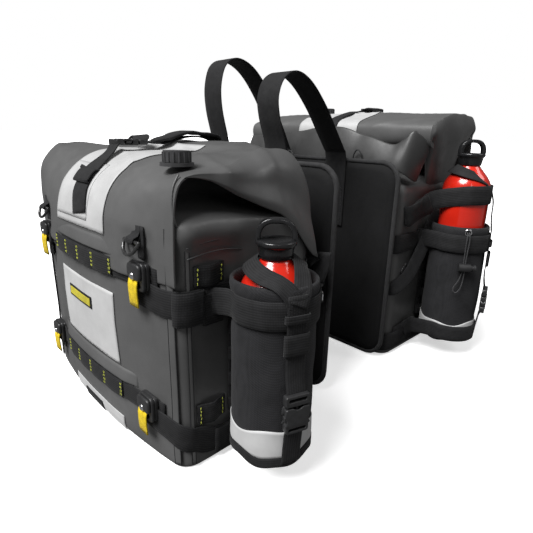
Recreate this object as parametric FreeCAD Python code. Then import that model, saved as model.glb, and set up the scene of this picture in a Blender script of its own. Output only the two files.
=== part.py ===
import FreeCAD, Part
import math
import os
from FreeCAD import Vector

# A pair of roll-top motorcycle saddlebags joined by two yoke straps over the seat.
# Millimetres. +X runs along the bags towards the bottle ends, +Y from the left bag to the
# right bag, +Z up, and the bags stand on z = 0. Each bag is drawn in its own frame
# (x, v, z), where v is the distance inwards from the outer face, and is then placed.

# ---------------------------------------------------------------- driving dimensions
BAG_LENGTH = 424.0
BAG_WIDTH = 240.0
HALF_GAP = 118.0            # inner wall of each bag from the plane between the bags
WALL_HEIGHT = 330.0
MOUTH_HEIGHT = 386.0
SKIN = 2.4                  # tarpaulin with its lining
BULGE = 22.0                # how far the outer face swells in the middle
CORNER_R = 24.0
REAR_REACH = 34.0           # the right roll's flap behind the bag's rear end
HOLSTER_V = 100.0
HOLSTER_OUT = 62.0          # holster axis in front of the bag's end
HOLSTER_R = 52.0
HOLSTER_WALL = 2.5
HOLSTER_FLOOR = 40.0
HOLSTER_TOP = 268.0
COLLAR_HEIGHT = 14.0
STRAP_WIDTH = 36.0
ROW_WIDTH = 28.0            # webbing rows on the outer face
WEB = 2.2                   # webbing thickness
GAP = 0.7                   # air between a skin and what lies on it
NARROW_WEB = 25.0
STRAP_Z = (214.0, 20.0)     # lower edges of the straps round the bag's ends
ROW_Z = (246.0, 64.0)       # lower edges of the rows on the outer face
ANCHOR_OFFSET = 156.0       # anchor buckles, from the middle of the outer face
BOTTLE_R = 43.0
BOTTLE_LIFT = {"left": 46.0, "right": 136.0}
PANEL_THICK = 8.0
PANEL_V = {"left": 284.0, "right": 246.0}
PANEL_TOP = 385.0
YOKE_WIDTH = 50.0
YOKE_WEB = 2.4
YOKE_ROOT_Z = 392.0
YOKE_X = {"front_yoke_strap": 27.0, "rear_yoke_strap": -119.0}
CORD_R = 1.1
CORD_ANGLE = 52.0           # the drawcord's grommet round the holster, from straight ahead
RUNNING = 0.05              # radial clearance of a pin in its bore

OUTER = HALF_GAP + BAG_WIDTH
BUCKLE_DEPTH = 11.0
BUCKLE_WIDTH = 32.0
BUCKLE_TURN = -18.0         # the holster's buckle and strap, round its axis towards the outer side
BUCKLE_REACH = 70.0         # how far the turned buckle reaches in front of the holster's axis
TURN = math.radians(-BUCKLE_TURN)
BUCKLE_OUT = (BUCKLE_REACH - BUCKLE_WIDTH / 2.0 * math.sin(TURN)) / math.cos(TURN)
FRONT_REACH = HOLSTER_OUT + BUCKLE_REACH
END_X = (BAG_LENGTH + REAR_REACH - FRONT_REACH) / 2.0
REAR_X = END_X - BAG_LENGTH
MID_X = (END_X + REAR_X) / 2.0
HOLSTER_X = END_X + HOLSTER_OUT

os.makedirs("parts", exist_ok=True)


# ---------------------------------------------------------------- helpers
def box(x, v, z):
    """A box from three (low, high) spans."""
    return Part.makeBox(x[1] - x[0], v[1] - v[0], z[1] - z[0], Vector(x[0], v[0], z[0]))


def rod(base, direction, radius, length):
    return Part.makeCylinder(radius, length, Vector(*base), Vector(*direction))


def ring(centre, inner, outer, z):
    tall = z[1] - z[0]
    base = (centre[0], centre[1], z[0])
    return rod(base, (0, 0, 1), outer, tall).cut(rod(base, (0, 0, 1), inner, tall))


def arc(a, middle, b):
    return Part.Arc(Vector(*a), Vector(*middle), Vector(*b)).toShape()


def line(a, b):
    return Part.makeLine(Vector(*a), Vector(*b))


def extrude_wire(edges, direction):
    face = Part.Face(Part.Wire(edges))
    return face.extrude(Vector(*direction))


def prism_x(points, x):
    """A polygon of (v, z) points drawn out along x."""
    corners = [Vector(x[0], v, z) for v, z in points]
    face = Part.Face(Part.makePolygon(corners + corners[:1]))
    return face.extrude(Vector(x[1] - x[0], 0, 0))


def ribbon_x(path, thickness, x):
    """A thin band along a (v, z) path, thickened to the left of its direction."""
    normals = []
    for (v0, z0), (v1, z1) in zip(path, path[1:]):
        length = math.hypot(v1 - v0, z1 - z0)
        normals.append((-(z1 - z0) / length, (v1 - v0) / length))
    shifted = []
    for i, (v, z) in enumerate(path):
        before = normals[max(i - 1, 0)]
        after = normals[min(i, len(normals) - 1)]
        nv, nz = before[0] + after[0], before[1] + after[1]
        scale = 2.0 / (nv * nv + nz * nz) * thickness
        shifted.append((v + nv * scale, z + nz * scale))
    return prism_x(path + shifted[::-1], x)


def fuse(shapes):
    result = shapes[0].fuse(shapes[1:]) if len(shapes) > 1 else shapes[0]
    return result.removeSplitter()


def place(shape, side):
    """Moves a shape from a bag's own frame into the pair's frame."""
    if side == "left":
        return shape.translated(Vector(0, -OUTER, 0))
    return shape.mirror(Vector(0, 0, 0), Vector(0, 1, 0)).translated(Vector(0, OUTER, 0))


def export(name, shape):
    shape.exportStep("parts/" + name + ".step")


def rounded_edges(x, v, radius, bulge, z):
    """Edges of a rounded rectangle whose outer side (low v) is bowed by bulge."""
    (x0, x1), (v0, v1) = x, v
    k = radius * (1.0 - math.sqrt(0.5))
    middle = (x0 + x1) / 2.0
    return [
        line((x0 + radius, v1, z), (x1 - radius, v1, z)),
        arc((x1 - radius, v1, z), (x1 - k, v1 - k, z), (x1, v1 - radius, z)),
        line((x1, v1 - radius, z), (x1, v0 + radius, z)),
        arc((x1, v0 + radius, z), (x1 - k, v0 + k, z), (x1 - radius, v0, z)),
        arc((x1 - radius, v0, z), (middle, v0 - bulge, z), (x0 + radius, v0, z)),
        arc((x0 + radius, v0, z), (x0 + k, v0 + k, z), (x0, v0 + radius, z)),
        line((x0, v0 + radius, z), (x0, v1 - radius, z)),
        arc((x0, v1 - radius, z), (x0 + k, v1 - k, z), (x0 + radius, v1, z)),
    ]


# The outer face is taken as one arc in plan, so what lies on it can follow the swell.
CHORD = BAG_LENGTH / 2.0 - CORNER_R
FACE_R = (CHORD ** 2 + BULGE ** 2) / (2.0 * BULGE)


def face_v(x, lift):
    """v of a point that stands lift mm off the outer face at x."""
    return FACE_R - BULGE - math.sqrt((FACE_R + lift) ** 2 - (x - MID_X) ** 2)


def face_band(x, lift, z):
    """A band that follows the outer face, between two lifts and two heights."""
    centre = (x[0] + x[1]) / 2.0
    low, high = [[(at, face_v(at, h), z[0]) for at in (x[0], centre, x[1])] for h in lift]
    edges = [arc(*low), line(low[2], high[2]), arc(high[2], high[1], high[0]), line(high[0], low[0])]
    return extrude_wire(edges, (0, 0, z[1] - z[0]))


def sector(centre, inner, outer, degrees, z):
    """Part of a flat ring between two angles."""
    def at(radius, angle):
        turn = math.radians(angle)
        return (centre[0] + radius * math.cos(turn), centre[1] + radius * math.sin(turn), z[0])
    start, end = degrees
    half = (start + end) / 2.0
    edges = [
        arc(at(inner, start), at(inner, half), at(inner, end)),
        line(at(inner, end), at(outer, end)),
        arc(at(outer, end), at(outer, half), at(outer, start)),
        line(at(outer, start), at(inner, start)),
    ]
    return extrude_wire(edges, (0, 0, z[1] - z[0]))


# ---------------------------------------------------------------- bag body
# height, inset of each end, outer v, inner v, bulge
STATIONS = [
    (0.0, 10.0, 16.0, 236.0, 6.0),
    (45.0, 0.0, 4.0, 240.0, 16.0),
    (180.0, 0.0, 0.0, 240.0, BULGE),
    (WALL_HEIGHT, 0.0, 0.0, 240.0, 18.0),
    (MOUTH_HEIGHT, 22.0, 34.0, 228.0, 4.0),
]


def bag_loft(shrink, bottom, top):
    wires = []
    for z, inset, v0, v1, bulge in STATIONS:
        height = min(max(z, bottom), top) if z < MOUTH_HEIGHT else top
        x = (REAR_X + inset + shrink, END_X - inset - shrink)
        edges = rounded_edges(x, (v0 + shrink, v1 - shrink), CORNER_R - shrink, bulge, height)
        wires.append(Part.Wire(edges))
    return Part.makeLoft(wires, True, True)


def shell():
    return bag_loft(0.0, 0.0, MOUTH_HEIGHT).cut(bag_loft(SKIN, SKIN, MOUTH_HEIGHT + 0.5))


LEFT_LID = [(36, 386), (228, 386), (231, 402), (223, 411), (150, 411), (128, 402), (70, 397), (58, 389.5)]
LEFT_FOLD = [(64, 388), (229, 388), (231, 402), (223, 411), (150, 411), (128, 402), (70, 397)]
LEFT_FLAP = [(70, 397), (128, 402), (150, 411), (223, 411), (231, 402), (230, 272), (198, 272)]
RIGHT_NECK = [(36, 386), (228, 386), (204, 402), (186, 412), (60, 420)]
RIGHT_ROLL = [(14, 434), (14, 462), (24, 474), (120, 474), (186, 456), (194, 448),
              (194, 414), (182, 408), (60, 418)]
RIGHT_FLAP = [(14, 460), (24, 474), (120, 474), (186, 456), (194, 444), (140, 325), (40, 325)]
RIGHT_HOLLOW = [(24, 442), (24, 460), (30, 465), (118, 465), (178, 450), (184, 444), (184, 422), (60, 427)]
FLAP_THICK = 10.0
FLAP_FOOT = 3.0             # how far the right flap's lower edge stands off the bag's end
FLAP_OUT = {"left": 3.0, "right": REAR_REACH - FLAP_THICK}
STIFFENER = {"left": ((165.0, 215.0), (395.0, 397.0)), "right": ((60.0, 150.0), (436.0, 438.0))}
CAVITY = 0.3


def roll_top(side):
    """The mouth, rolled over on itself, with both ends of the roll folded down."""
    out = FLAP_OUT[side]
    inside = (REAR_X + 24.0, END_X - 24.0)
    v, z = STIFFENER[side]
    if side == "left":
        roof, fold, flap, foot = LEFT_LID, LEFT_FOLD, LEFT_FLAP, out
        cavity = box((REAR_X + 40.0 - CAVITY, END_X - 40.0 + CAVITY),
                     (v[0] - CAVITY, v[1] + CAVITY), (z[0] - CAVITY, z[1] + CAVITY))
    else:
        roof, fold, flap, foot = RIGHT_NECK, RIGHT_ROLL, RIGHT_FLAP, FLAP_FOOT
        cavity = prism_x(RIGHT_HOLLOW, (REAR_X - 10.0, END_X + 10.0))
    pieces = [prism_x(roof, inside), prism_x(fold, (REAR_X - out, END_X + out))]
    for end, sign in ((END_X, 1.0), (REAR_X, -1.0)):
        pieces.append(end_flap(end, sign, out, foot, flap))
    return fuse(pieces).cut(cavity)


def end_flap(end, sign, out, foot, outline):
    """One end of the roll folded down over the bag's end, its lower edge nearer the bag."""
    low = min(z for v, z in outline)
    high = max(z for v, z in outline)
    fold = 440.0 if out != foot else high
    side = [(foot, low), (foot + FLAP_THICK, low), (out + FLAP_THICK, fold),
            (out + FLAP_THICK, high), (out, high), (out, fold)]
    corners = [Vector(end + sign * x, -50.0, z) for x, z in side]
    slab = Part.Face(Part.makePolygon(corners + corners[:1])).extrude(Vector(0, BAG_WIDTH + 100.0, 0))
    reach = sorted((end, end + sign * (out + FLAP_THICK + 1.0)))
    return slab.common(prism_x(outline, reach))


def inner_stiffeners(side):
    """Sheets that keep the bag's shape: front, back, base, and the strip in the roll."""
    along = (REAR_X + 30.0, END_X - 30.0)
    v, z = STIFFENER[side]
    return Part.makeCompound([
        box(along, (8.0, 10.5), (60.0, 320.0)),
        box(along, (231.0, 233.5), (12.0, 320.0)),
        box((REAR_X + 20.0, END_X - 20.0), (26.0, 226.0), (3.2, 5.7)),
        box((REAR_X + 40.0, END_X - 40.0), v, z),
    ])


# ---------------------------------------------------------------- reflective trim and label
STRIPE_X = (MID_X - 78.0, MID_X + 78.0)
RECTANGLE_X = (MID_X - 90.0, MID_X + 90.0)
RECTANGLE_Z = (116.0, 222.0)
LEFT_STRIPE = [(-22.7, 299), (-20.5, 330), (31, 387.5), (56, 390.8), (69, 398.3), (128, 403.5), (149, 412)]
RIGHT_STRIPE = [(-22.7, 299), (-20.5, 330), (31, 388)]
RIGHT_ROLL_STRIPE = [(12, 434), (12, 463), (23, 475.5), (121, 475.5), (187, 457.5), (195.5, 449), (195.5, 416)]
TRIM = 0.9
BAND_Z = (70.0, 92.0)


def reflective_trim(side):
    """Stripe over the top, rectangle on the outer face, wrap at the base, holster band."""
    lowest = [(3.0, 2.0), (-13.5, 24.0)]
    pieces = [
        box(RECTANGLE_X, (-BULGE - GAP - TRIM, -BULGE - GAP), RECTANGLE_Z),
        ribbon_x([(v - GAP, z) for v, z in lowest], TRIM, STRIPE_X),
        ring((HOLSTER_X, HOLSTER_V), HOLSTER_R + 0.1, HOLSTER_R + 0.8, BAND_Z).cut(ladder(1.0)),
    ]
    if side == "left":
        pieces.append(ribbon_x(LEFT_STRIPE, TRIM, STRIPE_X))
    else:
        pieces.append(ribbon_x(RIGHT_STRIPE, TRIM, STRIPE_X))
        pieces.append(ribbon_x(RIGHT_ROLL_STRIPE, TRIM, STRIPE_X))
    return Part.makeCompound(pieces)


def label():
    """A plain yellow sewn label with nothing written on it."""
    back = -BULGE - GAP - TRIM - 0.1
    return box((MID_X - 52.0, MID_X + 6.0), (back - 1.0, back), (178.0, 194.0))


# ---------------------------------------------------------------- webbing on the outer face
ROW_LIFT = (GAP, GAP + WEB)
LOOP_LIFT = (GAP + WEB, GAP + 2.0 * WEB)
LOOP_PITCH = 45.0
LOOPS = 5
RAIL_HEIGHT = 20.0
RAIL_REACH = 127.0
RAIL_LIFT = (GAP, GAP + 8.0)


def rows():
    """Both horizontal webbing rows, with a line of stitched loops on each."""
    shapes = []
    first = MID_X - LOOP_PITCH * LOOPS / 2.0
    for z0 in ROW_Z:
        z = (z0, z0 + ROW_WIDTH)
        parts = [face_band((REAR_X + CORNER_R, END_X - CORNER_R), ROW_LIFT, z)]
        for i in range(LOOPS):
            x = (first + i * LOOP_PITCH + 1.5, first + (i + 1) * LOOP_PITCH - 1.5)
            parts.append(face_band(x, LOOP_LIFT, z))
        shapes.append(fuse(parts))
    return shapes


def edge_rails():
    """Two rubber ledges, one above each row."""
    reach = (MID_X - RAIL_REACH, MID_X + RAIL_REACH)
    bases = [z + ROW_WIDTH + 1.0 for z in ROW_Z]
    return Part.makeCompound([face_band(reach, RAIL_LIFT, (z, z + RAIL_HEIGHT)) for z in bases])


ANCHOR_X = (MID_X + ANCHOR_OFFSET, MID_X - ANCHOR_OFFSET)
ANCHOR_Z = [z - 2.0 for z in ROW_Z]
ANCHOR_SIZE = (34.0, 10.0, 36.0)
ANCHOR_LIFT = 8.5
RIVET_R = 4.5
TAB_DROP = 22.0


def anchor_places():
    for x in ANCHOR_X:
        for z in ANCHOR_Z:
            yield x, face_v(x, ANCHOR_LIFT), z


def anchor_buckles():
    """Four moulded anchor plates, each with the slot that its strap passes through."""
    wide, deep, tall = ANCHOR_SIZE
    shapes = []
    for x, v, z in anchor_places():
        plate = box((x - wide / 2, x + wide / 2), (v - deep, v), (z, z + tall))
        slot = box((x - 4.0, x + 4.0), (v - deep - 1.0, v + 1.0), (z + 5.0, z + 15.0))
        shapes.append(plate.cut(slot))
    return Part.makeCompound(shapes)


def rivets(side):
    """A rivet in every anchor plate, and the drawcord's grommet on the right holster."""
    deep, tall = ANCHOR_SIZE[1:]
    shapes = []
    for x, v, z in anchor_places():
        shapes.append(rod((x, v - deep - 2.5, z + tall - 13.0), (0, 1, 0), RIVET_R, 2.4))
    if side == "right":
        shapes.append(grommet())
    return Part.makeCompound(shapes)


def pull_tabs():
    """A yellow tab below each anchor plate."""
    shapes = []
    for x, v, z in anchor_places():
        shapes.append(box((x - 7.0, x + 7.0), (v - 6.0, v - 3.0), (z - TAB_DROP, z - 0.5)))
    return Part.makeCompound(shapes)


# ---------------------------------------------------------------- D-rings
RING_WIRE = 2.2
RING_BEND = 17.0
RING_Z = 304.0
RING_TILT = 25.0            # how far each ring stands out from the face as it rests on its tab
RING_LIFT = 9.0
TAB_WIDTH = 18.0
RING_X = {"front_d_ring": MID_X + 150.0, "rear_d_ring": MID_X - 150.0}


def ring_axis(name):
    return RING_X[name], face_v(RING_X[name], RING_LIFT), RING_Z


def d_ring(name):
    """A straight bar inside the web tab, and a half circle that stands a little outwards."""
    x, v, z = ring_axis(name)
    whole = Part.makeTorus(RING_BEND, RING_WIRE, Vector(x, v, z), Vector(0, 1, 0))
    reach = RING_BEND + 2.0 * RING_WIRE
    bend = whole.cut(box((x - reach, x + reach), (v - reach, v + reach), (z, z + reach)))
    bar = rod((x - RING_BEND, v, z), (1, 0, 0), RING_WIRE, 2.0 * RING_BEND)
    ends = [Part.makeSphere(RING_WIRE, Vector(x + s * RING_BEND, v, z)) for s in (-1, 1)]
    ring_shape = fuse([bar, bend] + ends)
    return ring_shape.rotated(Vector(x, v, z), Vector(1, 0, 0), -RING_TILT)


def ring_tabs():
    """A patch and a folded web tab for each D-ring, with the bar's bore through it."""
    shapes = []
    for name in RING_X:
        x, v, z = ring_axis(name)
        patch = box((x - 15.0, x + 15.0), (v + 4.5, v + 6.0), (z - 22.0, z + 16.0))
        tab = box((x - TAB_WIDTH / 2, x + TAB_WIDTH / 2), (v - 4.0, v + 4.5), (z - 4.0, z + 12.0))
        bore = rod((x - TAB_WIDTH, v, z), (1, 0, 0), RING_WIRE + RUNNING, 2.0 * TAB_WIDTH)
        shapes.append(fuse([patch, tab]).cut(bore))
    return shapes


# ---------------------------------------------------------------- straps round the ends
def corner_band(centre, degrees, z):
    return sector(centre, CORNER_R + GAP, CORNER_R + GAP + WEB, degrees, z)


def end_wrap(front, z):
    """Webbing from the outer face round one end of the bag to its inner face."""
    end, sign = (END_X, 1.0) if front else (REAR_X, -1.0)
    centre_x = end - sign * CORNER_R
    if front:
        first, second = (-90.0, 0.0), (0.0, 90.0)
    else:
        first, second = (180.0, 270.0), (90.0, 180.0)
    near, far = end + sign * GAP, end + sign * (GAP + WEB)
    x = (min(near, far), max(near, far))
    inner = (centre_x - sign * 34.0, centre_x)
    return fuse([
        corner_band((centre_x, CORNER_R), first, z),
        box(x, (CORNER_R, BAG_WIDTH - CORNER_R), z),
        corner_band((centre_x, BAG_WIDTH - CORNER_R), second, z),
        box((min(inner), max(inner)), (BAG_WIDTH + GAP, BAG_WIDTH + GAP + WEB), z),
    ])


def holster_belt(z):
    """The upper strap's run from the end face round the outside of the holster."""
    centre = (HOLSTER_X, HOLSTER_V)
    inner = HOLSTER_R + GAP
    start_x = END_X + GAP + WEB + 0.2
    half_span = 74.0
    away = math.hypot(HOLSTER_X - start_x, half_span)
    open_angle = math.pi - math.atan2(half_span, HOLSTER_X - start_x) - math.acos(inner / away)
    edges = []

    def at(radius, angle):
        return (centre[0] + radius * math.cos(angle), centre[1] + radius * math.sin(angle), z[0])

    def root(sign, lift):
        shift_x = lift * math.cos(open_angle)
        shift_v = sign * lift * math.sin(open_angle)
        return (start_x + shift_x, centre[1] + sign * half_span + shift_v, z[0])

    outer = inner + WEB
    edges.append(line(root(-1, 0.0), at(inner, -open_angle)))
    edges.append(arc(at(inner, -open_angle), at(inner, 0.0), at(inner, open_angle)))
    edges.append(line(at(inner, open_angle), root(1, 0.0)))
    edges.append(line(root(1, 0.0), root(1, WEB)))
    edges.append(line(root(1, WEB), at(outer, open_angle)))
    edges.append(arc(at(outer, open_angle), at(outer, 0.0), at(outer, -open_angle)))
    edges.append(line(at(outer, -open_angle), root(-1, WEB)))
    edges.append(line(root(-1, WEB), root(-1, 0.0)))
    return extrude_wire(edges, (0, 0, z[1] - z[0]))


def side_straps():
    shapes = []
    for z0 in STRAP_Z:
        for front in (True, False):
            shapes.append(end_wrap(front, (z0, z0 + STRAP_WIDTH)))
    shapes.append(holster_belt((STRAP_Z[0], STRAP_Z[0] + STRAP_WIDTH)))
    return Part.makeCompound(shapes)


HOOK_X = END_X - 2.0
HOOK_Z = 196.0
HOOK_V = 262.0
HOOK_PIN = 2.6
HOOK_R = 11.0
HOOK_WIRE = 2.2
HOOK_CENTRE_Z = HOOK_Z - HOOK_R - 1.0
GATE_R = 1.7


def webbing_loops(side):
    """Rows, D-ring tabs, stitched end loops, panel hangers and yoke roots."""
    shapes = rows() + ring_tabs()
    for front in (True, False):
        x = (END_X + GAP, END_X + GAP + WEB) if front else (REAR_X - GAP - WEB, REAR_X - GAP)
        for z in ((252.0, 276.0), (62.0, 92.0)):
            shapes.append(box(x, (30.0, 66.0), z))
    panel = PANEL_V[side]
    for middle in YOKE_X.values():
        x = (middle - YOKE_WIDTH / 2, middle + YOKE_WIDTH / 2)
        hanger = box(x, (BAG_WIDTH + 0.4, panel - 0.4), (318.0, 324.0))
        root = box(x, (panel + PANEL_THICK + 0.3, panel + PANEL_THICK + 0.3 + YOKE_WEB),
                   (250.0, YOKE_ROOT_Z - 0.7))
        shapes += [hanger, root]
    if side == "left":
        tab = box((HOOK_X - 8.0, HOOK_X + 8.0), (HOOK_V - 1.2, HOOK_V + 1.2), (HOOK_Z + 12.0, HOOK_Z + 50.0))
        eye = box((HOOK_X - 8.0, HOOK_X + 8.0), (HOOK_V - 5.0, HOOK_V + 5.0), (HOOK_Z + 5.0, HOOK_Z + 12.0))
        bore = rod((HOOK_X, HOOK_V, HOOK_Z), (0, 0, 1), HOOK_PIN + RUNNING, 13.0)
        socket = rod((HOOK_X, HOOK_V, HOOK_Z + 9.0), (0, 0, 1), HOOK_PIN + 1.6, 4.0)
        bridge = box((HOOK_X - 8.0, HOOK_X + 8.0), (BAG_WIDTH + GAP + WEB + 0.2, HOOK_V - 1.2),
                     (HOOK_Z + 38.0, HOOK_Z + 50.0))
        shapes.append(fuse([tab, eye, bridge]).cut(bore).cut(socket))
    return Part.makeCompound(shapes)


# ---------------------------------------------------------------- snap hook
def snap_hook():
    """A swivel pin with a head, and a hook that is open on one side for the gate."""
    pin = rod((HOOK_X, HOOK_V, HOOK_Z - 2.0), (0, 0, 1), HOOK_PIN, 11.5)
    head = rod((HOOK_X, HOOK_V, HOOK_Z + 9.3), (0, 0, 1), HOOK_PIN + 1.2, 1.6)
    collar = rod((HOOK_X, HOOK_V, HOOK_Z - 2.0), (0, 0, 1), HOOK_PIN + 1.6, 6.5)
    centre = Vector(HOOK_X, HOOK_V, HOOK_CENTRE_Z)
    hook = Part.makeTorus(HOOK_R, HOOK_WIRE, centre, Vector(0, 1, 0))
    opening = box((HOOK_X + 4.0, HOOK_X + 20.0), (HOOK_V - 5.0, HOOK_V + 5.0),
                  (HOOK_CENTRE_Z - 6.0, HOOK_CENTRE_Z + 6.0))
    return fuse([pin, head, collar, hook.cut(opening)])


def snap_gate():
    """The gate closes the hook's open side, and turns on its rounded lower end."""
    x = HOOK_X + HOOK_R - 1.8
    foot = HOOK_CENTRE_Z - 5.6 + GATE_R
    stem = rod((x, HOOK_V, foot), (0, 0, 1), GATE_R, 11.2 - GATE_R)
    return fuse([stem, Part.makeSphere(GATE_R, Vector(x, HOOK_V, foot))])


# ---------------------------------------------------------------- purge valve
VALVE_PLACE = {"left": (END_X - 43.0, 37.0, 390.0), "right": (REAR_X + 91.0, 45.0, 475.0)}
VALVE_SEAT_R = 20.0
VALVE_SEAT = 4.0
KNOB_R = 16.0
KNOB_HEIGHT = 13.0
SPINDLE_R = 4.0
RIBS = 16


def valve_seat(side):
    """A welded disc with the spindle that the knob turns on."""
    x, v, z = VALVE_PLACE[side]
    return fuse([
        rod((x, v, z), (0, 0, 1), VALVE_SEAT_R, VALVE_SEAT),
        rod((x, v, z), (0, 0, 1), SPINDLE_R, VALVE_SEAT + 9.0),
    ])


def valve_knob(side):
    x, v, z = VALVE_PLACE[side]
    base = z + VALVE_SEAT + 0.4
    knob = rod((x, v, base), (0, 0, 1), KNOB_R, KNOB_HEIGHT)
    ribs = []
    for i in range(RIBS):
        turn = 2.0 * math.pi * i / RIBS
        at = (x + KNOB_R * math.cos(turn), v + KNOB_R * math.sin(turn), base)
        ribs.append(rod(at, (0, 0, 1), 1.3, KNOB_HEIGHT - 1.5))
    bore = rod((x, v, base - 1.0), (0, 0, 1), SPINDLE_R + RUNNING, 10.4)
    return fuse([knob] + ribs).cut(bore)


# ---------------------------------------------------------------- side-release buckles
def buckle(width, depth, length):
    """Socket and two-armed prong of a side-release buckle, along +z from the origin.

    The socket runs from 0 to length, and the prong's stem from length upwards.
    """
    half = width / 2.0
    outer = box((-half, half), (0.0, depth), (0.0, length))
    hollow = box((-half + 2.5, half - 2.5), (2.2, depth - 2.2), (10.0, length + 1.0))
    windows = box((-half - 1.0, half + 1.0), (2.2, depth - 2.2), (15.0, length - 9.0))
    slot = box((-half + 4.0, half - 4.0), (-1.0, depth + 1.0), (3.0, 6.5))
    socket = outer.cut(hollow).cut(windows).cut(slot)
    deep = (2.6, depth - 2.6)
    tall = (16.0, length + 2.0)
    arm = half - 4.0
    arms = [box((at - 1.2, at + 1.2), deep, tall) for at in (-arm, 0.0, arm)]
    bar = box((-half, half), (1.0, depth - 1.0), (length + 1.5, length + 15.0))
    eye = box((-half + 4.0, half - 4.0), (-1.0, depth + 1.0), (length + 6.0, length + 10.0))
    prong = fuse(arms + [bar]).cut(eye)
    return socket, prong


HOLSTER_BUCKLE = (BUCKLE_WIDTH, BUCKLE_DEPTH, 34.0)
HOLSTER_BUCKLE_Z = 96.0
HOLSTER_FACE = HOLSTER_X + BUCKLE_OUT - BUCKLE_DEPTH
TOP_BUCKLE = (32.0, 9.0, 34.0)
TOP_STRAP_X = {"left": MID_X - 16.0, "right": MID_X + 16.0}
TOP_BUCKLE_V = {"left": 46.0, "right": 28.0}
TOP_Z = {"left": 407.3, "right": 480.3}


def round_holster(shape):
    """Turns a shape from straight ahead of the holster to where its strap runs."""
    return shape.rotated(Vector(HOLSTER_X, HOLSTER_V, 0), Vector(0, 0, 1), BUCKLE_TURN)


def holster_buckle():
    """The buckle stands in front of the holster, its prong above its socket."""
    shapes = []
    for shape in buckle(*HOLSTER_BUCKLE):
        faced = shape.rotated(Vector(0, 0, 0), Vector(0, 0, 1), -90.0)
        ahead = faced.translated(Vector(HOLSTER_FACE, HOLSTER_V, HOLSTER_BUCKLE_Z))
        shapes.append(round_holster(ahead))
    return shapes


def top_buckle(side):
    """The buckle lies on the top strap, its prong towards the inner side."""
    shapes = []
    for shape in buckle(*TOP_BUCKLE):
        laid = shape.rotated(Vector(0, 0, 0), Vector(1, 0, 0), -90.0)
        up = laid.translated(Vector(TOP_STRAP_X[side], TOP_BUCKLE_V[side], TOP_Z[side] + TOP_BUCKLE[1]))
        shapes.append(up)
    return shapes


LEFT_TOP_PATH = [(-25.0, 300), (-22.0, 331), (29.5, 389.2), (43, 395.4), (59, 399.4), (127, 405.6),
                 (147, 414), (224, 414), (234, 405), (234, 372)]
RIGHT_TOP_PATH = [(9.5, 420), (9.5, 464.5), (22, 478), (122, 478), (189, 460), (198, 451), (198, 408)]


def top_strap(side):
    """Compression strap over the roll, with a keeper."""
    path = LEFT_TOP_PATH if side == "left" else RIGHT_TOP_PATH
    middle = TOP_STRAP_X[side]
    return ribbon_x(path, WEB - 0.4, (middle - NARROW_WEB / 2, middle + NARROW_WEB / 2))


# ---------------------------------------------------------------- bottle holster
def ladder(grow):
    """The block of webbing that joins the holster to the bag's end."""
    return box((END_X + GAP + WEB + 0.4 - grow, END_X + 12.0 + grow),
               (HOLSTER_V - 22.0 - grow, HOLSTER_V + 22.0 + grow), (62.0, 208.0))


def holster():
    """An open tube with a floor, a drawcord collar and a ladder that joins it to the bag."""
    centre = (HOLSTER_X, HOLSTER_V)
    tube = ring(centre, HOLSTER_R - HOLSTER_WALL, HOLSTER_R, (HOLSTER_FLOOR, HOLSTER_TOP))
    floor = rod((HOLSTER_X, HOLSTER_V, HOLSTER_FLOOR), (0, 0, 1), HOLSTER_R, 4.0)
    collar = ring(centre, HOLSTER_R - HOLSTER_WALL - 3.0, HOLSTER_R + 2.0,
                  (HOLSTER_TOP - COLLAR_HEIGHT, HOLSTER_TOP))
    joint = ladder(0.0).cut(rod((HOLSTER_X, HOLSTER_V, 0.0), (0, 0, 1), HOLSTER_R - 1.0, 400.0))
    return fuse([tube, floor, collar, joint])


NECK_R = 18.0
CAP_R = 24.0
CAP_START = 244.0
CAP_BODY = 22.0
CAP_LOOP = 24.0
LOOP_TURN = {"left": 46.0, "right": -46.0}     # how far each cap's loop is turned from straight


def bottle_profile(lift, inset):
    """Half outline of the bottle as (radius, height) points, inset for the inside."""
    radius = BOTTLE_R - inset
    low = lift + inset
    return [
        (0.0, low), (radius - 4.0, low), (radius, low + 4.0), (radius, lift + 204.0),
        (radius - 7.0, lift + 222.0 - inset * 0.5), (23.0 - inset, lift + 240.0 - inset),
        (23.0 - inset, lift + 243.0 - inset), (NECK_R - inset, lift + 243.0 - inset),
        (NECK_R - inset, lift + 260.0),
        (0.0, lift + 260.0),
    ]


def revolve(outline):
    corners = [Vector(HOLSTER_X + r, HOLSTER_V, z) for r, z in outline]
    face = Part.Face(Part.makePolygon(corners + corners[:1]))
    return face.revolve(Vector(HOLSTER_X, HOLSTER_V, 0), Vector(0, 0, 1), 360.0)


def bottle(side):
    lift = BOTTLE_LIFT[side]
    solid = revolve(bottle_profile(lift, 0.0))
    hollow = revolve(bottle_profile(lift, 1.5))
    mouth = rod((HOLSTER_X, HOLSTER_V, lift + 250.0), (0, 0, 1), NECK_R - 1.5, 20.0)
    return solid.cut(hollow).cut(mouth)


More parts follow.
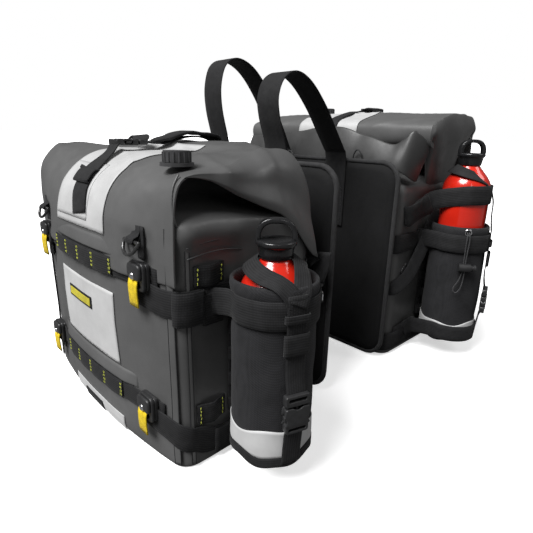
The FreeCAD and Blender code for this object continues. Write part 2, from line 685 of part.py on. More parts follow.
def bottle_cap(side):
    """Screw cap over the neck, with a finger loop on top."""
    base = BOTTLE_LIFT[side] + CAP_START
    centre = (HOLSTER_X, HOLSTER_V)
    cap = rod((*centre, base), (0, 0, 1), CAP_R - 1.0, CAP_BODY)
    lip = rod((*centre, base + CAP_BODY - 6.0), (0, 0, 1), CAP_R, 6.0)
    bore = rod((*centre, base - 1.0), (0, 0, 1), NECK_R + RUNNING, 17.5)
    top = base + CAP_BODY
    half = CAP_R - 1.0
    k = 12.0 * (1.0 - math.sqrt(0.5))

    def outline(grow, low):
        """Edges of the loop's outline in the x-z plane, pulled in by grow."""
        x0, x1 = HOLSTER_X - half + grow, HOLSTER_X + half - grow
        z1 = top + CAP_LOOP - grow
        v = HOLSTER_V - 6.0
        r = 12.0 - grow
        return [
            line((x0, v, low), (x0, v, z1 - r)),
            arc((x0, v, z1 - r), (x0 + k - 0.3 * grow, v, z1 - k + 0.3 * grow), (x0 + r, v, z1)),
            line((x0 + r, v, z1), (x1 - r, v, z1)),
            arc((x1 - r, v, z1), (x1 - k + 0.3 * grow, v, z1 - k + 0.3 * grow), (x1, v, z1 - r)),
            line((x1, v, z1 - r), (x1, v, low)),
            line((x1, v, low), (x0, v, low)),
        ]
    loop = extrude_wire(outline(0.0, top - 1.0), (0, 12.0, 0))
    gap = extrude_wire(outline(4.0, top + 2.0), (0, 12.0, 0))
    handle = loop.cut(gap)
    handle.rotate(Vector(HOLSTER_X, HOLSTER_V, 0), Vector(0, 0, 1), LOOP_TURN[side])
    return fuse([cap, lip, handle]).cut(bore)


def shoulder_leg(face, neck):
    """The right strap's slanting leg, from the holster's front up to the bottle's shoulder."""
    low = HOLSTER_TOP + 2.0
    inner = HOLSTER_X + BOTTLE_R + 2.0
    points = [(face[0], low), (face[1], low), (inner + WEB, neck - 6.0), (inner, neck - 6.0)]
    corners = [Vector(x, HOLSTER_V - NARROW_WEB / 2.0, z) for x, z in points]
    return Part.Face(Part.makePolygon(corners + corners[:1])).extrude(Vector(0, NARROW_WEB, 0))


def bottle_straps(side):
    """The strap up the holster's front, its upper leg and the loop round the neck."""
    half = NARROW_WEB / 2.0
    face = (HOLSTER_FACE - WEB - 0.2, HOLSTER_FACE - 0.2)
    across = (HOLSTER_V - half, HOLSTER_V + half)
    neck = BOTTLE_LIFT[side] + 229.0
    lower = round_holster(box(face, across, (HOLSTER_FLOOR, HOLSTER_BUCKLE_Z + 2.0)))
    top = HOLSTER_TOP + 4.0
    upper = round_holster(box(face, across, (HOLSTER_BUCKLE_Z + HOLSTER_BUCKLE[2] + 4.0, top)))
    collar = ring((HOLSTER_X, HOLSTER_V), BOTTLE_R + 1.0, BOTTLE_R + 1.0 + WEB, (neck - 24.0, neck - 2.0))
    front_half = box((HOLSTER_X - 12.0, HOLSTER_X + 60.0), (0.0, BAG_WIDTH), (neck - 30.0, neck + 5.0))
    collar = collar.common(front_half)
    if side == "left":
        return Part.makeCompound([lower, upper, collar])
    return Part.makeCompound([lower, fuse([upper, round_holster(shoulder_leg(face, neck)), collar])])


# ---------------------------------------------------------------- back panel
def back_panel(side):
    """A flat padded panel with rounded corners that rests against the motorcycle."""
    x = (REAR_X + 4.0, END_X + 3.0)
    z = (4.0, PANEL_TOP)
    r = 36.0
    v = PANEL_V[side]
    k = r * (1.0 - math.sqrt(0.5))
    edges = [
        line((x[0] + r, v, z[0]), (x[1] - r, v, z[0])),
        arc((x[1] - r, v, z[0]), (x[1] - k, v, z[0] + k), (x[1], v, z[0] + r)),
        line((x[1], v, z[0] + r), (x[1], v, z[1] - r)),
        arc((x[1], v, z[1] - r), (x[1] - k, v, z[1] - k), (x[1] - r, v, z[1])),
        line((x[1] - r, v, z[1]), (x[0] + r, v, z[1])),
        arc((x[0] + r, v, z[1]), (x[0] + k, v, z[1] - k), (x[0], v, z[1] - r)),
        line((x[0], v, z[1] - r), (x[0], v, z[0] + r)),
        arc((x[0], v, z[0] + r), (x[0] + k, v, z[0] + k), (x[0] + r, v, z[0])),
    ]
    return extrude_wire(edges, (0, PANEL_THICK, 0))


# ---------------------------------------------------------------- yoke
YOKE_ROOT_Y = {
    "left": -OUTER + PANEL_V["left"] + PANEL_THICK + 0.3 + YOKE_WEB / 2,
    "right": OUTER - PANEL_V["right"] - PANEL_THICK - 0.3 - YOKE_WEB / 2,
}
# Midline of each strap between its roots, as (y, z).
YOKE_PATH = {
    "front_yoke_strap": [(-70.0, 418.0), (-83.0, 454.0), (-87.0, 486.0), (-74.0, 514.0), (-45.0, 526.0),
                         (-8.0, 513.0), (34.0, 476.0), (72.0, 430.0)],
    "rear_yoke_strap": [(-73.0, 424.0), (-85.0, 470.0), (-87.0, 510.0), (-75.0, 545.0), (-46.0, 558.0),
                        (-6.0, 544.0), (34.0, 504.0), (72.0, 446.0)],
}


def yoke_strap(name):
    """One webbing strap that arches over the seat from panel to panel."""
    path = [(YOKE_ROOT_Y["left"], YOKE_ROOT_Z + 0.7)] + YOKE_PATH[name]
    path.append((YOKE_ROOT_Y["right"], YOKE_ROOT_Z + 0.7))
    x0 = YOKE_X[name] - YOKE_WIDTH / 2
    sides = []
    for lift in (-YOKE_WEB / 2, YOKE_WEB / 2):
        points = []
        for i, (y, z) in enumerate(path):
            before = path[max(i - 1, 0)]
            after = path[min(i + 1, len(path) - 1)]
            dy, dz = after[0] - before[0], after[1] - before[1]
            if i in (0, len(path) - 1):
                dy, dz = 0.0, (1.0 if i == 0 else -1.0)
            length = math.hypot(dy, dz)
            points.append(Vector(x0, y - dz / length * lift, z + dy / length * lift))
        curve = Part.BSplineCurve()
        curve.interpolate(points)
        sides.append((curve.toShape(), points))
    (low, low_points), (high, high_points) = sides
    edges = [low, Part.makeLine(low_points[-1], high_points[-1]), high,
             Part.makeLine(high_points[0], low_points[0])]
    wire = Part.Wire(Part.__sortEdges__(edges))
    return Part.Face(wire).extrude(Vector(YOKE_WIDTH, 0, 0))


# ---------------------------------------------------------------- drawcord on the right holster
GROMMET_Z = HOLSTER_TOP - 7.0
COLLAR_OUT = HOLSTER_R + 2.0
LOCK_Z = GROMMET_Z - 66.0
CORD_OUT = COLLAR_OUT + 7.0
# The cord's route round its loop, as (sideways, outwards from the holster's axis, height
# from the grommet).
CORD_ROUTE = [
    (1.7, COLLAR_OUT + 1.3, 0.0),
    (1.8, COLLAR_OUT + 5.6, -1.4),
    (2.3, COLLAR_OUT + 8.0, -7.0),
    (2.8, COLLAR_OUT + 8.2, -17.0),
    (2.2, CORD_OUT + 0.3, -34.0),
    (1.7, CORD_OUT, -56.0),
    (1.9, CORD_OUT - 0.1, -78.0),
    (6.5, CORD_OUT - 0.6, -95.0),
    (13.0, CORD_OUT - 1.2, -105.0),
    (13.5, CORD_OUT - 1.6, -115.0),
    (6.5, CORD_OUT - 1.4, -118.5),
    (0.5, CORD_OUT - 0.9, -109.0),
    (-1.9, CORD_OUT - 0.4, -94.0),
    (-1.9, CORD_OUT, -76.0),
    (-1.7, CORD_OUT, -55.0),
    (-2.1, CORD_OUT + 0.3, -34.0),
    (-2.8, COLLAR_OUT + 8.2, -17.0),
    (-2.3, COLLAR_OUT + 8.0, -7.0),
    (-1.8, COLLAR_OUT + 5.6, -1.4),
    (-1.7, COLLAR_OUT + 1.3, 0.0),
]


def holster_point(side_way, out, z):
    turn = math.radians(CORD_ANGLE)
    x = HOLSTER_X + out * math.cos(turn) - side_way * math.sin(turn)
    v = HOLSTER_V + out * math.sin(turn) + side_way * math.cos(turn)
    return Vector(x, v, z)


def cord_directions():
    """Outwards and sideways unit vectors at the grommet."""
    turn = math.radians(CORD_ANGLE)
    return Vector(math.cos(turn), math.sin(turn), 0), Vector(-math.sin(turn), math.cos(turn), 0)


def grommet():
    outwards = cord_directions()[0]
    centre = holster_point(0.0, COLLAR_OUT + 0.05, GROMMET_Z)
    plate = Part.makeCylinder(7.0, 1.2, centre, outwards)
    return plate.cut(Part.makeCylinder(3.6, 3.0, centre - outwards, outwards))


def drawcord():
    """Straight runs joined by tangent arcs, swept with a round section."""
    points = [holster_point(s, out, GROMMET_Z + z) for s, out, z in CORD_ROUTE]
    edges = []
    radii = []
    here = points[0]
    for before, corner, after in zip(points, points[1:], points[2:]):
        back = (before - corner)
        ahead = (after - corner)
        run = min(back.Length, ahead.Length)
        back.normalize()
        ahead.normalize()
        cut = 0.45 * run
        turn = math.pi - back.getAngle(ahead)
        radii.append(cut / math.tan(turn / 2.0))
        start = corner + back * cut
        end = corner + ahead * cut
        inwards = back + ahead
        inwards.normalize()
        reach = radii[-1] * (1.0 / math.cos(turn / 2.0) - 1.0)
        edges.append(Part.LineSegment(here, start).toShape())
        edges.append(Part.Arc(start, corner + inwards * reach, end).toShape())
        here = end
    edges.append(Part.LineSegment(here, points[-1]).toShape())
    wire = Part.Wire(edges)
    first = (points[1] - points[0])
    section = Part.Wire(Part.makeCircle(CORD_R, points[0], first))
    tube = wire.makePipeShell([section], True, True)
    print("drawcord length %.1f mm" % wire.Length)
    print("drawcord radii", [round(r, 1) for r in radii])
    print("drawcord volume %.1f of %.1f" % (tube.Volume, wire.Length * math.pi * CORD_R ** 2))
    return tube


LOCK_R = 7.5
PLUNGER_R = 4.6
PLUNGER_TRAVEL = 5.0


def cord_slot(low, high):
    """A slot, up through the lock, that the two strands pass with room to spare."""
    outwards = cord_directions()[0]
    corner = holster_point(low, CORD_OUT - 1.9, LOCK_Z - 12.0)
    slot = Part.makeBox(high - low, 3.8, 24.0)
    turn = CORD_ANGLE + 90.0
    slot = slot.rotated(Vector(0, 0, 0), Vector(0, 0, 1), turn)
    return slot.translated(corner + outwards * 3.8)


def lock_rod(start, radius, length):
    """A cylinder along the lock's axis, from a distance short of the strands."""
    towards_button = cord_directions()[1] * -1.0
    return Part.makeCylinder(radius, length, holster_point(-start, CORD_OUT, LOCK_Z), towards_button)


def cord_lock():
    barrel = lock_rod(-10.0, LOCK_R, 21.0)
    bore = lock_rod(-7.0, PLUNGER_R + RUNNING, 20.0)
    return barrel.cut(bore).cut(cord_slot(-3.8, 3.8))


def lock_plunger():
    stem = lock_rod(-1.5, PLUNGER_R, 18.0)
    button = lock_rod(11.3 + PLUNGER_TRAVEL, 6.2, 4.0)
    return fuse([stem, button]).cut(cord_slot(-3.8 - PLUNGER_TRAVEL, 3.8))


# ---------------------------------------------------------------- write every node
def write_bag(side):
    socket, prong = holster_buckle()
    top_socket, top_prong = top_buckle(side)
    nodes = {
        "shell": shell(),
        "roll_top": roll_top(side),
        "inner_stiffeners": inner_stiffeners(side),
        "reflective_trim": reflective_trim(side),
        "label": label(),
        "edge_rails": edge_rails(),
        "webbing_loops": webbing_loops(side),
        "anchor_buckles": anchor_buckles(),
        "rivets": rivets(side),
        "pull_tabs": pull_tabs(),
        "front_d_ring": d_ring("front_d_ring"),
        "rear_d_ring": d_ring("rear_d_ring"),
        "side_straps": side_straps(),
        "valve_seat": valve_seat(side),
        "valve_knob": valve_knob(side),
        "top_strap": top_strap(side),
        "top_buckle_socket": top_socket,
        "top_buckle_prong": top_prong,
        "holster": holster(),
        "bottle": bottle(side),
        "bottle_cap": bottle_cap(side),
        "bottle_straps": bottle_straps(side),
        "holster_buckle_socket": socket,
        "holster_buckle_prong": prong,
        "back_panel": back_panel(side),
    }
    for name, shape in nodes.items():
        export(side + "_" + name, place(shape, side))


for bag_side in ("left", "right"):
    write_bag(bag_side)
for strap_name in YOKE_X:
    export(strap_name, yoke_strap(strap_name))
export("snap_hook", place(snap_hook(), "left"))
export("snap_gate", place(snap_gate(), "left"))
export("drawcord", place(drawcord(), "right"))
export("cord_lock", place(cord_lock(), "right"))
export("lock_plunger", place(lock_plunger(), "right"))
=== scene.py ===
"""Looks for a pair of roll-top motorcycle saddlebags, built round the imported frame.

Bag coordinates are millimetres (x, v, z): x along the bag, v inwards from the outer face,
z up. They are turned into the pair's frame, in metres, only when a mesh is written.
"""

import math

import bmesh
import bpy
import numpy as np
from mathutils import Matrix, Vector
from mathutils import noise as mnoise

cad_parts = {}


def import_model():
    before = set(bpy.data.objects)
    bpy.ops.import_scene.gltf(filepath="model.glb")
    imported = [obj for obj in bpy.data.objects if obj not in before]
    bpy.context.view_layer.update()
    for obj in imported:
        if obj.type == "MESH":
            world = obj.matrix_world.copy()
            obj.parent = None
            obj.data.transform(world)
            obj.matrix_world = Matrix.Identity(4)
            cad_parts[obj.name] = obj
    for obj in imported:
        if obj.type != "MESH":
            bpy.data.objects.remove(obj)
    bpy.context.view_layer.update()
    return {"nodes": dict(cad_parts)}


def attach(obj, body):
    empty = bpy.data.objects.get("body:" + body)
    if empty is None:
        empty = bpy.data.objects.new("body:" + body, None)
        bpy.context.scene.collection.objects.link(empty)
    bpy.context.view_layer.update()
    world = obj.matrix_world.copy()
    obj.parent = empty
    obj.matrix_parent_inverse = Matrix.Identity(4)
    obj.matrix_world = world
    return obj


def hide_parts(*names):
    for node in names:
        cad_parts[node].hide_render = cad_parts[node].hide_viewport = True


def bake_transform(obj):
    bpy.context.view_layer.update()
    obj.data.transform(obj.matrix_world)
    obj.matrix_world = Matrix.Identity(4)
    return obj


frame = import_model()

# ---------------------------------------------------------------- dimensions, in millimetres
SIDES = ("left", "right")
OUTER = 358.0                               # from the pair's middle to each bag's outer face
WIDTH = 240.0                               # of one bag, across the motorcycle
END_X = 163.0                               # the end that carries the holster
REAR_X = -261.0
MID_X = (END_X + REAR_X) / 2.0
HALF_LENGTH = (END_X - REAR_X) / 2.0
CORNER_R = 24.0
BULGE = 22.0                                # swell of the outer face at its middle
STRAPS = ((214.0, 250.0), (20.0, 56.0))     # round the bag's ends
ROWS = ((246.0, 274.0), (64.0, 92.0))       # on the outer face
ANCHOR_X = (MID_X + 156.0, MID_X - 156.0)
RING_X = (MID_X + 150.0, MID_X - 150.0)
RING_Z = 304.0
RING_DENT = {"left": 3.2, "right": 5.2}     # room in the cover for each lashing ring to swing
HOLSTER_X = 225.0
HOLSTER_V = 100.0
HOLSTER_R = 52.0
HOLSTER_Z = (40.0, 268.0)
BOTTLE_R = 43.0
BOTTLE_LIFT = {"left": 46.0, "right": 136.0}
PANEL_V = {"left": 284.0, "right": 246.0}
PANEL_X = (-257.0, 166.0)
PANEL_Z = (4.0, 385.0)
PANEL_THICK = 8.0
YOKE_X = {"front": 27.0, "rear": -119.0}
YOKE_WIDTH = 50.0
TOP_STRAP_X = {"left": -65.0, "right": -33.0}
WEB = 2.2                                   # thickness of plain webbing
STRAP_WIDTH = 25.0                          # straps that run through a buckle
HOOK = (161.0, 262.0, 196.0)
ALONG, INWARD, OUTWARD, UP = (1.0, 0.0, 0.0), (0.0, 1.0, 0.0), (0.0, -1.0, 0.0), (0.0, 0.0, 1.0)


def world(side, points):
    """Bag coordinates to the pair's frame, in metres."""
    p = np.array(points, float)
    out = p.copy()
    out[..., 1] = p[..., 1] - OUTER if side == "left" else OUTER - p[..., 1]
    return out / 1000.0


# ---------------------------------------------------------------- node helpers
def new_material(name):
    """A material with one principled shader, and that shader."""
    mat = bpy.data.materials.new(name)
    mat.use_nodes = True
    nodes = mat.node_tree.nodes
    nodes.clear()
    out = nodes.new("ShaderNodeOutputMaterial")
    bsdf = nodes.new("ShaderNodeBsdfPrincipled")
    mat.node_tree.links.new(bsdf.outputs[0], out.inputs[0])
    return mat, bsdf


def node(mat, kind, **values):
    """A node of a kind, with its inputs or its settings given by name."""
    made = mat.node_tree.nodes.new(kind)
    for key, value in values.items():
        if key in made.inputs:
            made.inputs[key].default_value = value
        else:
            setattr(made, key, value)
    return made


def link(mat, a, b):
    mat.node_tree.links.new(a, b)


def coordinates(mat, kind="Object", scale=(1, 1, 1)):
    """The surface's own coordinates, scaled."""
    coord = node(mat, "ShaderNodeTexCoord")
    mapping = node(mat, "ShaderNodeMapping")
    mapping.inputs["Scale"].default_value = scale
    link(mat, coord.outputs[kind], mapping.inputs["Vector"])
    return mapping.outputs[0]


def ramp(mat, source, stops):
    """Colours along a value, from (position, colour) stops."""
    made = node(mat, "ShaderNodeValToRGB")
    elements = made.color_ramp.elements
    while len(elements) < len(stops):
        elements.new(0.5)
    for element, (at, colour) in zip(elements, stops):
        element.position = at
        element.color = (*colour, 1.0) if len(colour) == 3 else colour
    link(mat, source, made.inputs[0])
    return made.outputs[0]


def noise_tex(mat, vector, scale, detail=3.0, rough=0.5):
    made = node(mat, "ShaderNodeTexNoise", Scale=scale, Detail=detail, Roughness=rough)
    link(mat, vector, made.inputs["Vector"])
    return made.outputs[0]


def grey(level):
    return (level, level, level)


def shade(colour, factor):
    return tuple(min(c * factor, 1.0) for c in colour)


def bump(mat, bsdf, layers):
    """Stacks bump nodes: each layer is (height output, strength, distance in metres)."""
    last = None
    for height, strength, distance in layers:
        made = node(mat, "ShaderNodeBump", Strength=strength, Distance=distance)
        link(mat, height, made.inputs["Height"])
        if last is not None:
            link(mat, last, made.inputs["Normal"])
        last = made.outputs[0]
    link(mat, last, bsdf.inputs["Normal"])


def wave(mat, vector, scale, direction="X", distortion=0.0):
    made = node(mat, "ShaderNodeTexWave", Scale=scale, Distortion=distortion)
    made.bands_direction = direction
    link(mat, vector, made.inputs["Vector"])
    return made.outputs["Fac"]


def combine(mat, operation, a, b):
    made = node(mat, "ShaderNodeMath", operation=operation)
    link(mat, a, made.inputs[0])
    link(mat, b, made.inputs[1])
    return made.outputs[0]


# ---------------------------------------------------------------- materials
def tarpaulin(name, low, high):
    """Coated fabric: broad mottle, scuffed gloss, fine grain and soft creases."""
    mat, bsdf = new_material(name)
    vector = coordinates(mat)
    broad = noise_tex(mat, vector, 9.0, 4.0, 0.6)
    link(mat, ramp(mat, broad, [(0.3, grey(low)), (0.7, grey(high))]), bsdf.inputs["Base Color"])
    scuff = noise_tex(mat, vector, 60.0, 5.0, 0.7)
    link(mat, ramp(mat, scuff, [(0.35, grey(0.36)), (0.7, grey(0.50))]), bsdf.inputs["Roughness"])
    bsdf.inputs["Specular IOR Level"].default_value = 0.45
    grain = node(mat, "ShaderNodeTexVoronoi", Scale=900.0)
    link(mat, vector, grain.inputs["Vector"])
    creases = noise_tex(mat, vector, 26.0, 3.0, 0.55)
    bump(mat, bsdf, [(creases, 0.12, 0.004), (grain.outputs["Distance"], 0.10, 0.0004)])
    return mat


def webbing(name, base, along=1150.0, across=640.0):
    """Ribbed webbing: fine ribs across its length and wider ones along it, from its UV map."""
    mat, bsdf = new_material(name)
    vector = coordinates(mat, "UV")
    ribs = wave(mat, vector, along / 6.28, "X")
    cords = wave(mat, vector, across / 6.28, "Y")
    weave = combine(mat, "MULTIPLY", ribs, cords)
    mixed = combine(mat, "ADD", weave, noise_tex(mat, vector, 90.0, 3.0, 0.6))
    link(mat, ramp(mat, mixed, [(0.25, shade(base, 0.45)), (1.1, shade(base, 1.5))]),
         bsdf.inputs["Base Color"])
    bsdf.inputs["Roughness"].default_value = 0.78
    bsdf.inputs["Specular IOR Level"].default_value = 0.25
    bsdf.inputs["Sheen Weight"].default_value = 0.05
    bsdf.inputs["Sheen Roughness"].default_value = 0.4
    bump(mat, bsdf, [(weave, 0.6, 0.0005)])
    return mat


def woven(name, base, pitch=1400.0, sheen=0.2, wrinkle=0.25):
    """A plain weave from object coordinates, for packcloth and panels."""
    mat, bsdf = new_material(name)
    vector = coordinates(mat)
    a = wave(mat, vector, pitch / 6.28, "DIAGONAL", 0.4)
    b = wave(mat, coordinates(mat, scale=(1, -1, 1)), pitch / 6.28, "DIAGONAL", 0.4)
    weave = combine(mat, "MULTIPLY", a, b)
    total = combine(mat, "ADD", weave, noise_tex(mat, vector, 45.0, 4.0, 0.6))
    link(mat, ramp(mat, total, [(0.3, shade(base, 0.6)), (1.2, shade(base, 1.5))]), bsdf.inputs["Base Color"])
    bsdf.inputs["Roughness"].default_value = 0.8
    bsdf.inputs["Specular IOR Level"].default_value = 0.25
    bsdf.inputs["Sheen Weight"].default_value = sheen
    folds = noise_tex(mat, vector, 22.0, 3.0, 0.5)
    bump(mat, bsdf, [(folds, wrinkle, 0.006), (weave, 0.5, 0.0004)])
    return mat


def plastic(name, base, rough, grain=500.0, depth=0.12):
    """Moulded plastic: faint mottle, uneven gloss and a fine grain."""
    mat, bsdf = new_material(name)
    vector = coordinates(mat)
    mottle = noise_tex(mat, vector, 130.0, 4.0, 0.6)
    link(mat, ramp(mat, mottle, [(0.3, shade(base, 0.8)), (0.75, shade(base, 1.3))]),
         bsdf.inputs["Base Color"])
    link(mat, ramp(mat, noise_tex(mat, vector, 300.0), [(0.3, grey(rough)), (0.8, grey(rough + 0.14))]),
         bsdf.inputs["Roughness"])
    bump(mat, bsdf, [(noise_tex(mat, vector, grain, 2.0), depth, 0.0003)])
    return mat


def reflective():
    """Pale reflective fabric: a satin face with glass-bead grain."""
    mat, bsdf = new_material("reflective_beads")
    vector = coordinates(mat)
    mottle = noise_tex(mat, vector, 25.0, 4.0, 0.6)
    link(mat, ramp(mat, mottle, [(0.3, grey(0.46)), (0.7, grey(0.56))]), bsdf.inputs["Base Color"])
    bsdf.inputs["Roughness"].default_value = 0.48
    bsdf.inputs["Sheen Weight"].default_value = 0.3
    beads = node(mat, "ShaderNodeTexVoronoi", Scale=1500.0)
    link(mat, vector, beads.inputs["Vector"])
    bump(mat, bsdf, [(noise_tex(mat, vector, 30.0), 0.12, 0.003), (beads.outputs["Distance"], 0.2, 0.0003)])
    return mat


def lacquer():
    """The bottle's red coat under a clear one."""
    mat, bsdf = new_material("red_lacquer")
    vector = coordinates(mat)
    mottle = noise_tex(mat, vector, 18.0, 3.0)
    link(mat, ramp(mat, mottle, [(0.3, (0.52, 0.014, 0.006)), (0.7, (0.66, 0.022, 0.009))]),
         bsdf.inputs["Base Color"])
    bsdf.inputs["Roughness"].default_value = 0.22
    bsdf.inputs["Coat Weight"].default_value = 0.6
    bsdf.inputs["Coat Roughness"].default_value = 0.06
    bump(mat, bsdf, [(noise_tex(mat, vector, 260.0, 2.0), 0.04, 0.0004)])
    return mat


def metal(name, base, rough):
    """Bare metal with an uneven polish."""
    mat, bsdf = new_material(name)
    vector = coordinates(mat)
    bsdf.inputs["Metallic"].default_value = 1.0
    mottle = noise_tex(mat, vector, 220.0, 4.0)
    link(mat, ramp(mat, mottle, [(0.3, shade(base, 0.85)), (0.7, base)]), bsdf.inputs["Base Color"])
    link(mat, ramp(mat, noise_tex(mat, vector, 420.0), [(0.3, grey(rough)), (0.8, grey(rough + 0.12))]),
         bsdf.inputs["Roughness"])
    bump(mat, bsdf, [(noise_tex(mat, vector, 500.0, 2.0), 0.05, 0.0003)])
    return mat


def coated_steel():
    """The rings' and the hook's black coat."""
    mat, bsdf = new_material("coated_steel")
    vector = coordinates(mat)
    link(mat, ramp(mat, noise_tex(mat, vector, 180.0), [(0.3, grey(0.018)), (0.75, grey(0.04))]),
         bsdf.inputs["Base Color"])
    bsdf.inputs["Roughness"].default_value = 0.26
    bsdf.inputs["Coat Weight"].default_value = 0.5
    bump(mat, bsdf, [(noise_tex(mat, vector, 400.0, 2.0), 0.06, 0.0003)])
    return mat


MATS = {
    "tarpaulin": tarpaulin("tarpaulin_coat", 0.082, 0.112),
    # a darker copy of the same tarpaulin coat: the shade on the far bag's mouth fabric is painted into its
    # colour
    "tarpaulin_shaded_copy": tarpaulin("tarpaulin_painted_shade", 0.034, 0.048),
    "reflective_fabric": reflective(),
    "webbing": webbing("webbing_black", (0.0150, 0.0150, 0.0158)),
    "label_yellow": woven("label_woven", (0.46, 0.40, 0.03), 2200.0, 0.05, 0.05),
    "tab_yellow": webbing("tab_woven", (0.74, 0.49, 0.015), 1900.0, 1900.0),
    "stitch": webbing("stitch_thread", (0.62, 0.66, 0.10), 5200.0, 4200.0),
    "rail_rubber": plastic("rail_rubber", (0.052, 0.052, 0.053), 0.5, 900.0, 0.2),
    "buckle_plastic": plastic("buckle_acetal", (0.022, 0.022, 0.023), 0.34),
    "valve_plastic": plastic("valve_moulding", (0.05, 0.05, 0.052), 0.36),
    "rivet_metal": metal("rivet_chrome", (0.82, 0.82, 0.84), 0.12),
    "ring_metal": coated_steel(),
    "holster_cordura": woven("holster_packcloth", (0.0165, 0.0165, 0.018), 1250.0, 0.04, 0.5),
    "bottle_red": lacquer(),
    "cap_black": plastic("cap_gloss", (0.014, 0.014, 0.015), 0.16, 300.0, 0.04),
    "panel_fabric": woven("panel_weave", (0.006, 0.006, 0.0064), 1500.0, 0.02, 0.3),
    "edge_binding": webbing("edge_binding", (0.030, 0.030, 0.031), 1500.0, 1500.0),
    "cord_black": webbing("cord_braid", (0.05, 0.05, 0.052), 3600.0, 3600.0),
    "inner_dark": plastic("inner_lining", (0.010, 0.010, 0.011), 0.7),
}


# ---------------------------------------------------------------- mesh helpers
def make_object(name, side, verts, faces, mat, uvs=None):
    """A smooth mesh object from bag coordinates, or from the pair's own in mm when side is None."""
    mesh = bpy.data.meshes.new(name)
    points = world(side, verts) if side else np.array(verts, float) / 1000.0
    if side == "right":
        faces = [tuple(reversed(face)) for face in faces]
    mesh.from_pydata([tuple(p) for p in points], [], faces)
    if uvs is not None:
        layer = mesh.uv_layers.new(name="UVMap")
        flat = [uvs[i] for face in faces for i in face]
        layer.data.foreach_set("uv", np.array(flat, float).ravel())
    mesh.validate()
    obj = bpy.data.objects.new(name, mesh)
    bpy.context.scene.collection.objects.link(obj)
    mesh.materials.append(MATS[mat])
    mesh.polygons.foreach_set("use_smooth", [True] * len(mesh.polygons))
    return fix_normals(obj)


def fix_normals(obj):
    """Makes all faces of a mesh look outwards."""
    bm = bmesh.new()
    bm.from_mesh(obj.data)
    bmesh.ops.recalc_face_normals(bm, faces=bm.faces)
    bm.to_mesh(obj.data)
    bm.free()
    return obj


def add_modifier(obj, kind, **values):
    made = obj.modifiers.new(kind.lower(), kind)
    for key, value in values.items():
        setattr(made, key, value)
    return made


def apply_modifiers(obj):
    """Writes an object's modifiers into its mesh."""
    depsgraph = bpy.context.evaluated_depsgraph_get()
    mesh = bpy.data.meshes.new_from_object(obj.evaluated_get(depsgraph))
    obj.modifiers.clear()
    old = obj.data
    obj.data = mesh
    bpy.data.meshes.remove(old)
    mesh.polygons.foreach_set("use_smooth", [True] * len(mesh.polygons))
    return obj


def join(name, objects):
    """One object from several, so that a piece is a single named thing."""
    bpy.ops.object.select_all(action="DESELECT")
    for obj in objects:
        apply_modifiers(obj)
        obj.select_set(True)
    bpy.context.view_layer.objects.active = objects[0]
    if len(objects) > 1:
        bpy.ops.object.join()
    joined = bpy.context.view_layer.objects.active
    joined.name = name
    joined.data.name = name
    return joined


def sheet(name, side, verts, faces, mat, thick, offset=0.0, smoothed=False):
    """A thin sheet with some thickness."""
    obj = make_object(name, side, verts, faces, mat)
    add_modifier(obj, "SOLIDIFY", thickness=thick, offset=offset)
    if smoothed:
        add_modifier(obj, "SUBSURF", levels=1, render_levels=1)
    return apply_modifiers(obj)


def caps(rows, columns):
    """The two end faces of a wrapped grid."""
    return [tuple(range(columns)), tuple(range((rows - 1) * columns, rows * columns))[::-1]]


def grid_faces(rows, columns, wrap=False):
    """Quads over rows of points, the last column joined to the first when wrapped."""
    faces = []
    last = columns if wrap else columns - 1
    for i in range(rows - 1):
        for j in range(last):
            k = (j + 1) % columns
            faces.append((i * columns + j, i * columns + k, (i + 1) * columns + k, (i + 1) * columns + j))
    return faces


def spline(points, count):
    """Catmull-Rom through the points, evenly resampled to count points."""
    p = np.array(points, float)
    ends = np.vstack([2 * p[0] - p[1], p, 2 * p[-1] - p[-2]])
    out = []
    for a, b, c, d in zip(ends, ends[1:], ends[2:], ends[3:]):
        for t in np.linspace(0, 1, 12, endpoint=False):
            out.append(0.5 * (2 * b + (c - a) * t + (2 * a - 5 * b + 4 * c - d) * t ** 2
                              + (3 * b - a - 3 * c + d) * t ** 3))
    out.append(p[-1])
    return resample(out, count)


def resample(points, count):
    """Points at equal steps along a broken line."""
    p = np.array(points, float)
    steps = np.linalg.norm(np.diff(p, axis=0), axis=1)
    at = np.concatenate([[0], np.cumsum(steps)])
    wanted = np.linspace(0, at[-1], count)
    return np.stack([np.interp(wanted, at, p[:, k]) for k in range(p.shape[1])], axis=1)


def unit(v):
    v = np.array(v, float)
    length = np.linalg.norm(v, axis=-1, keepdims=True)
    return v / np.maximum(length, 1e-9)


def smoothstep(low, high, value):
    """A smooth 0 to 1 between two levels, which may also run downwards."""
    t = np.clip((value - low) / (high - low), 0.0, 1.0)
    return t * t * (3.0 - 2.0 * t)


def wrinkle(x, y, z, size, seed=0.0):
    """Smooth noise from -1 to 1 at a place, in mm."""
    return mnoise.noise(Vector((x / size + seed, y / size - seed, z / size + 2.0 * seed)))


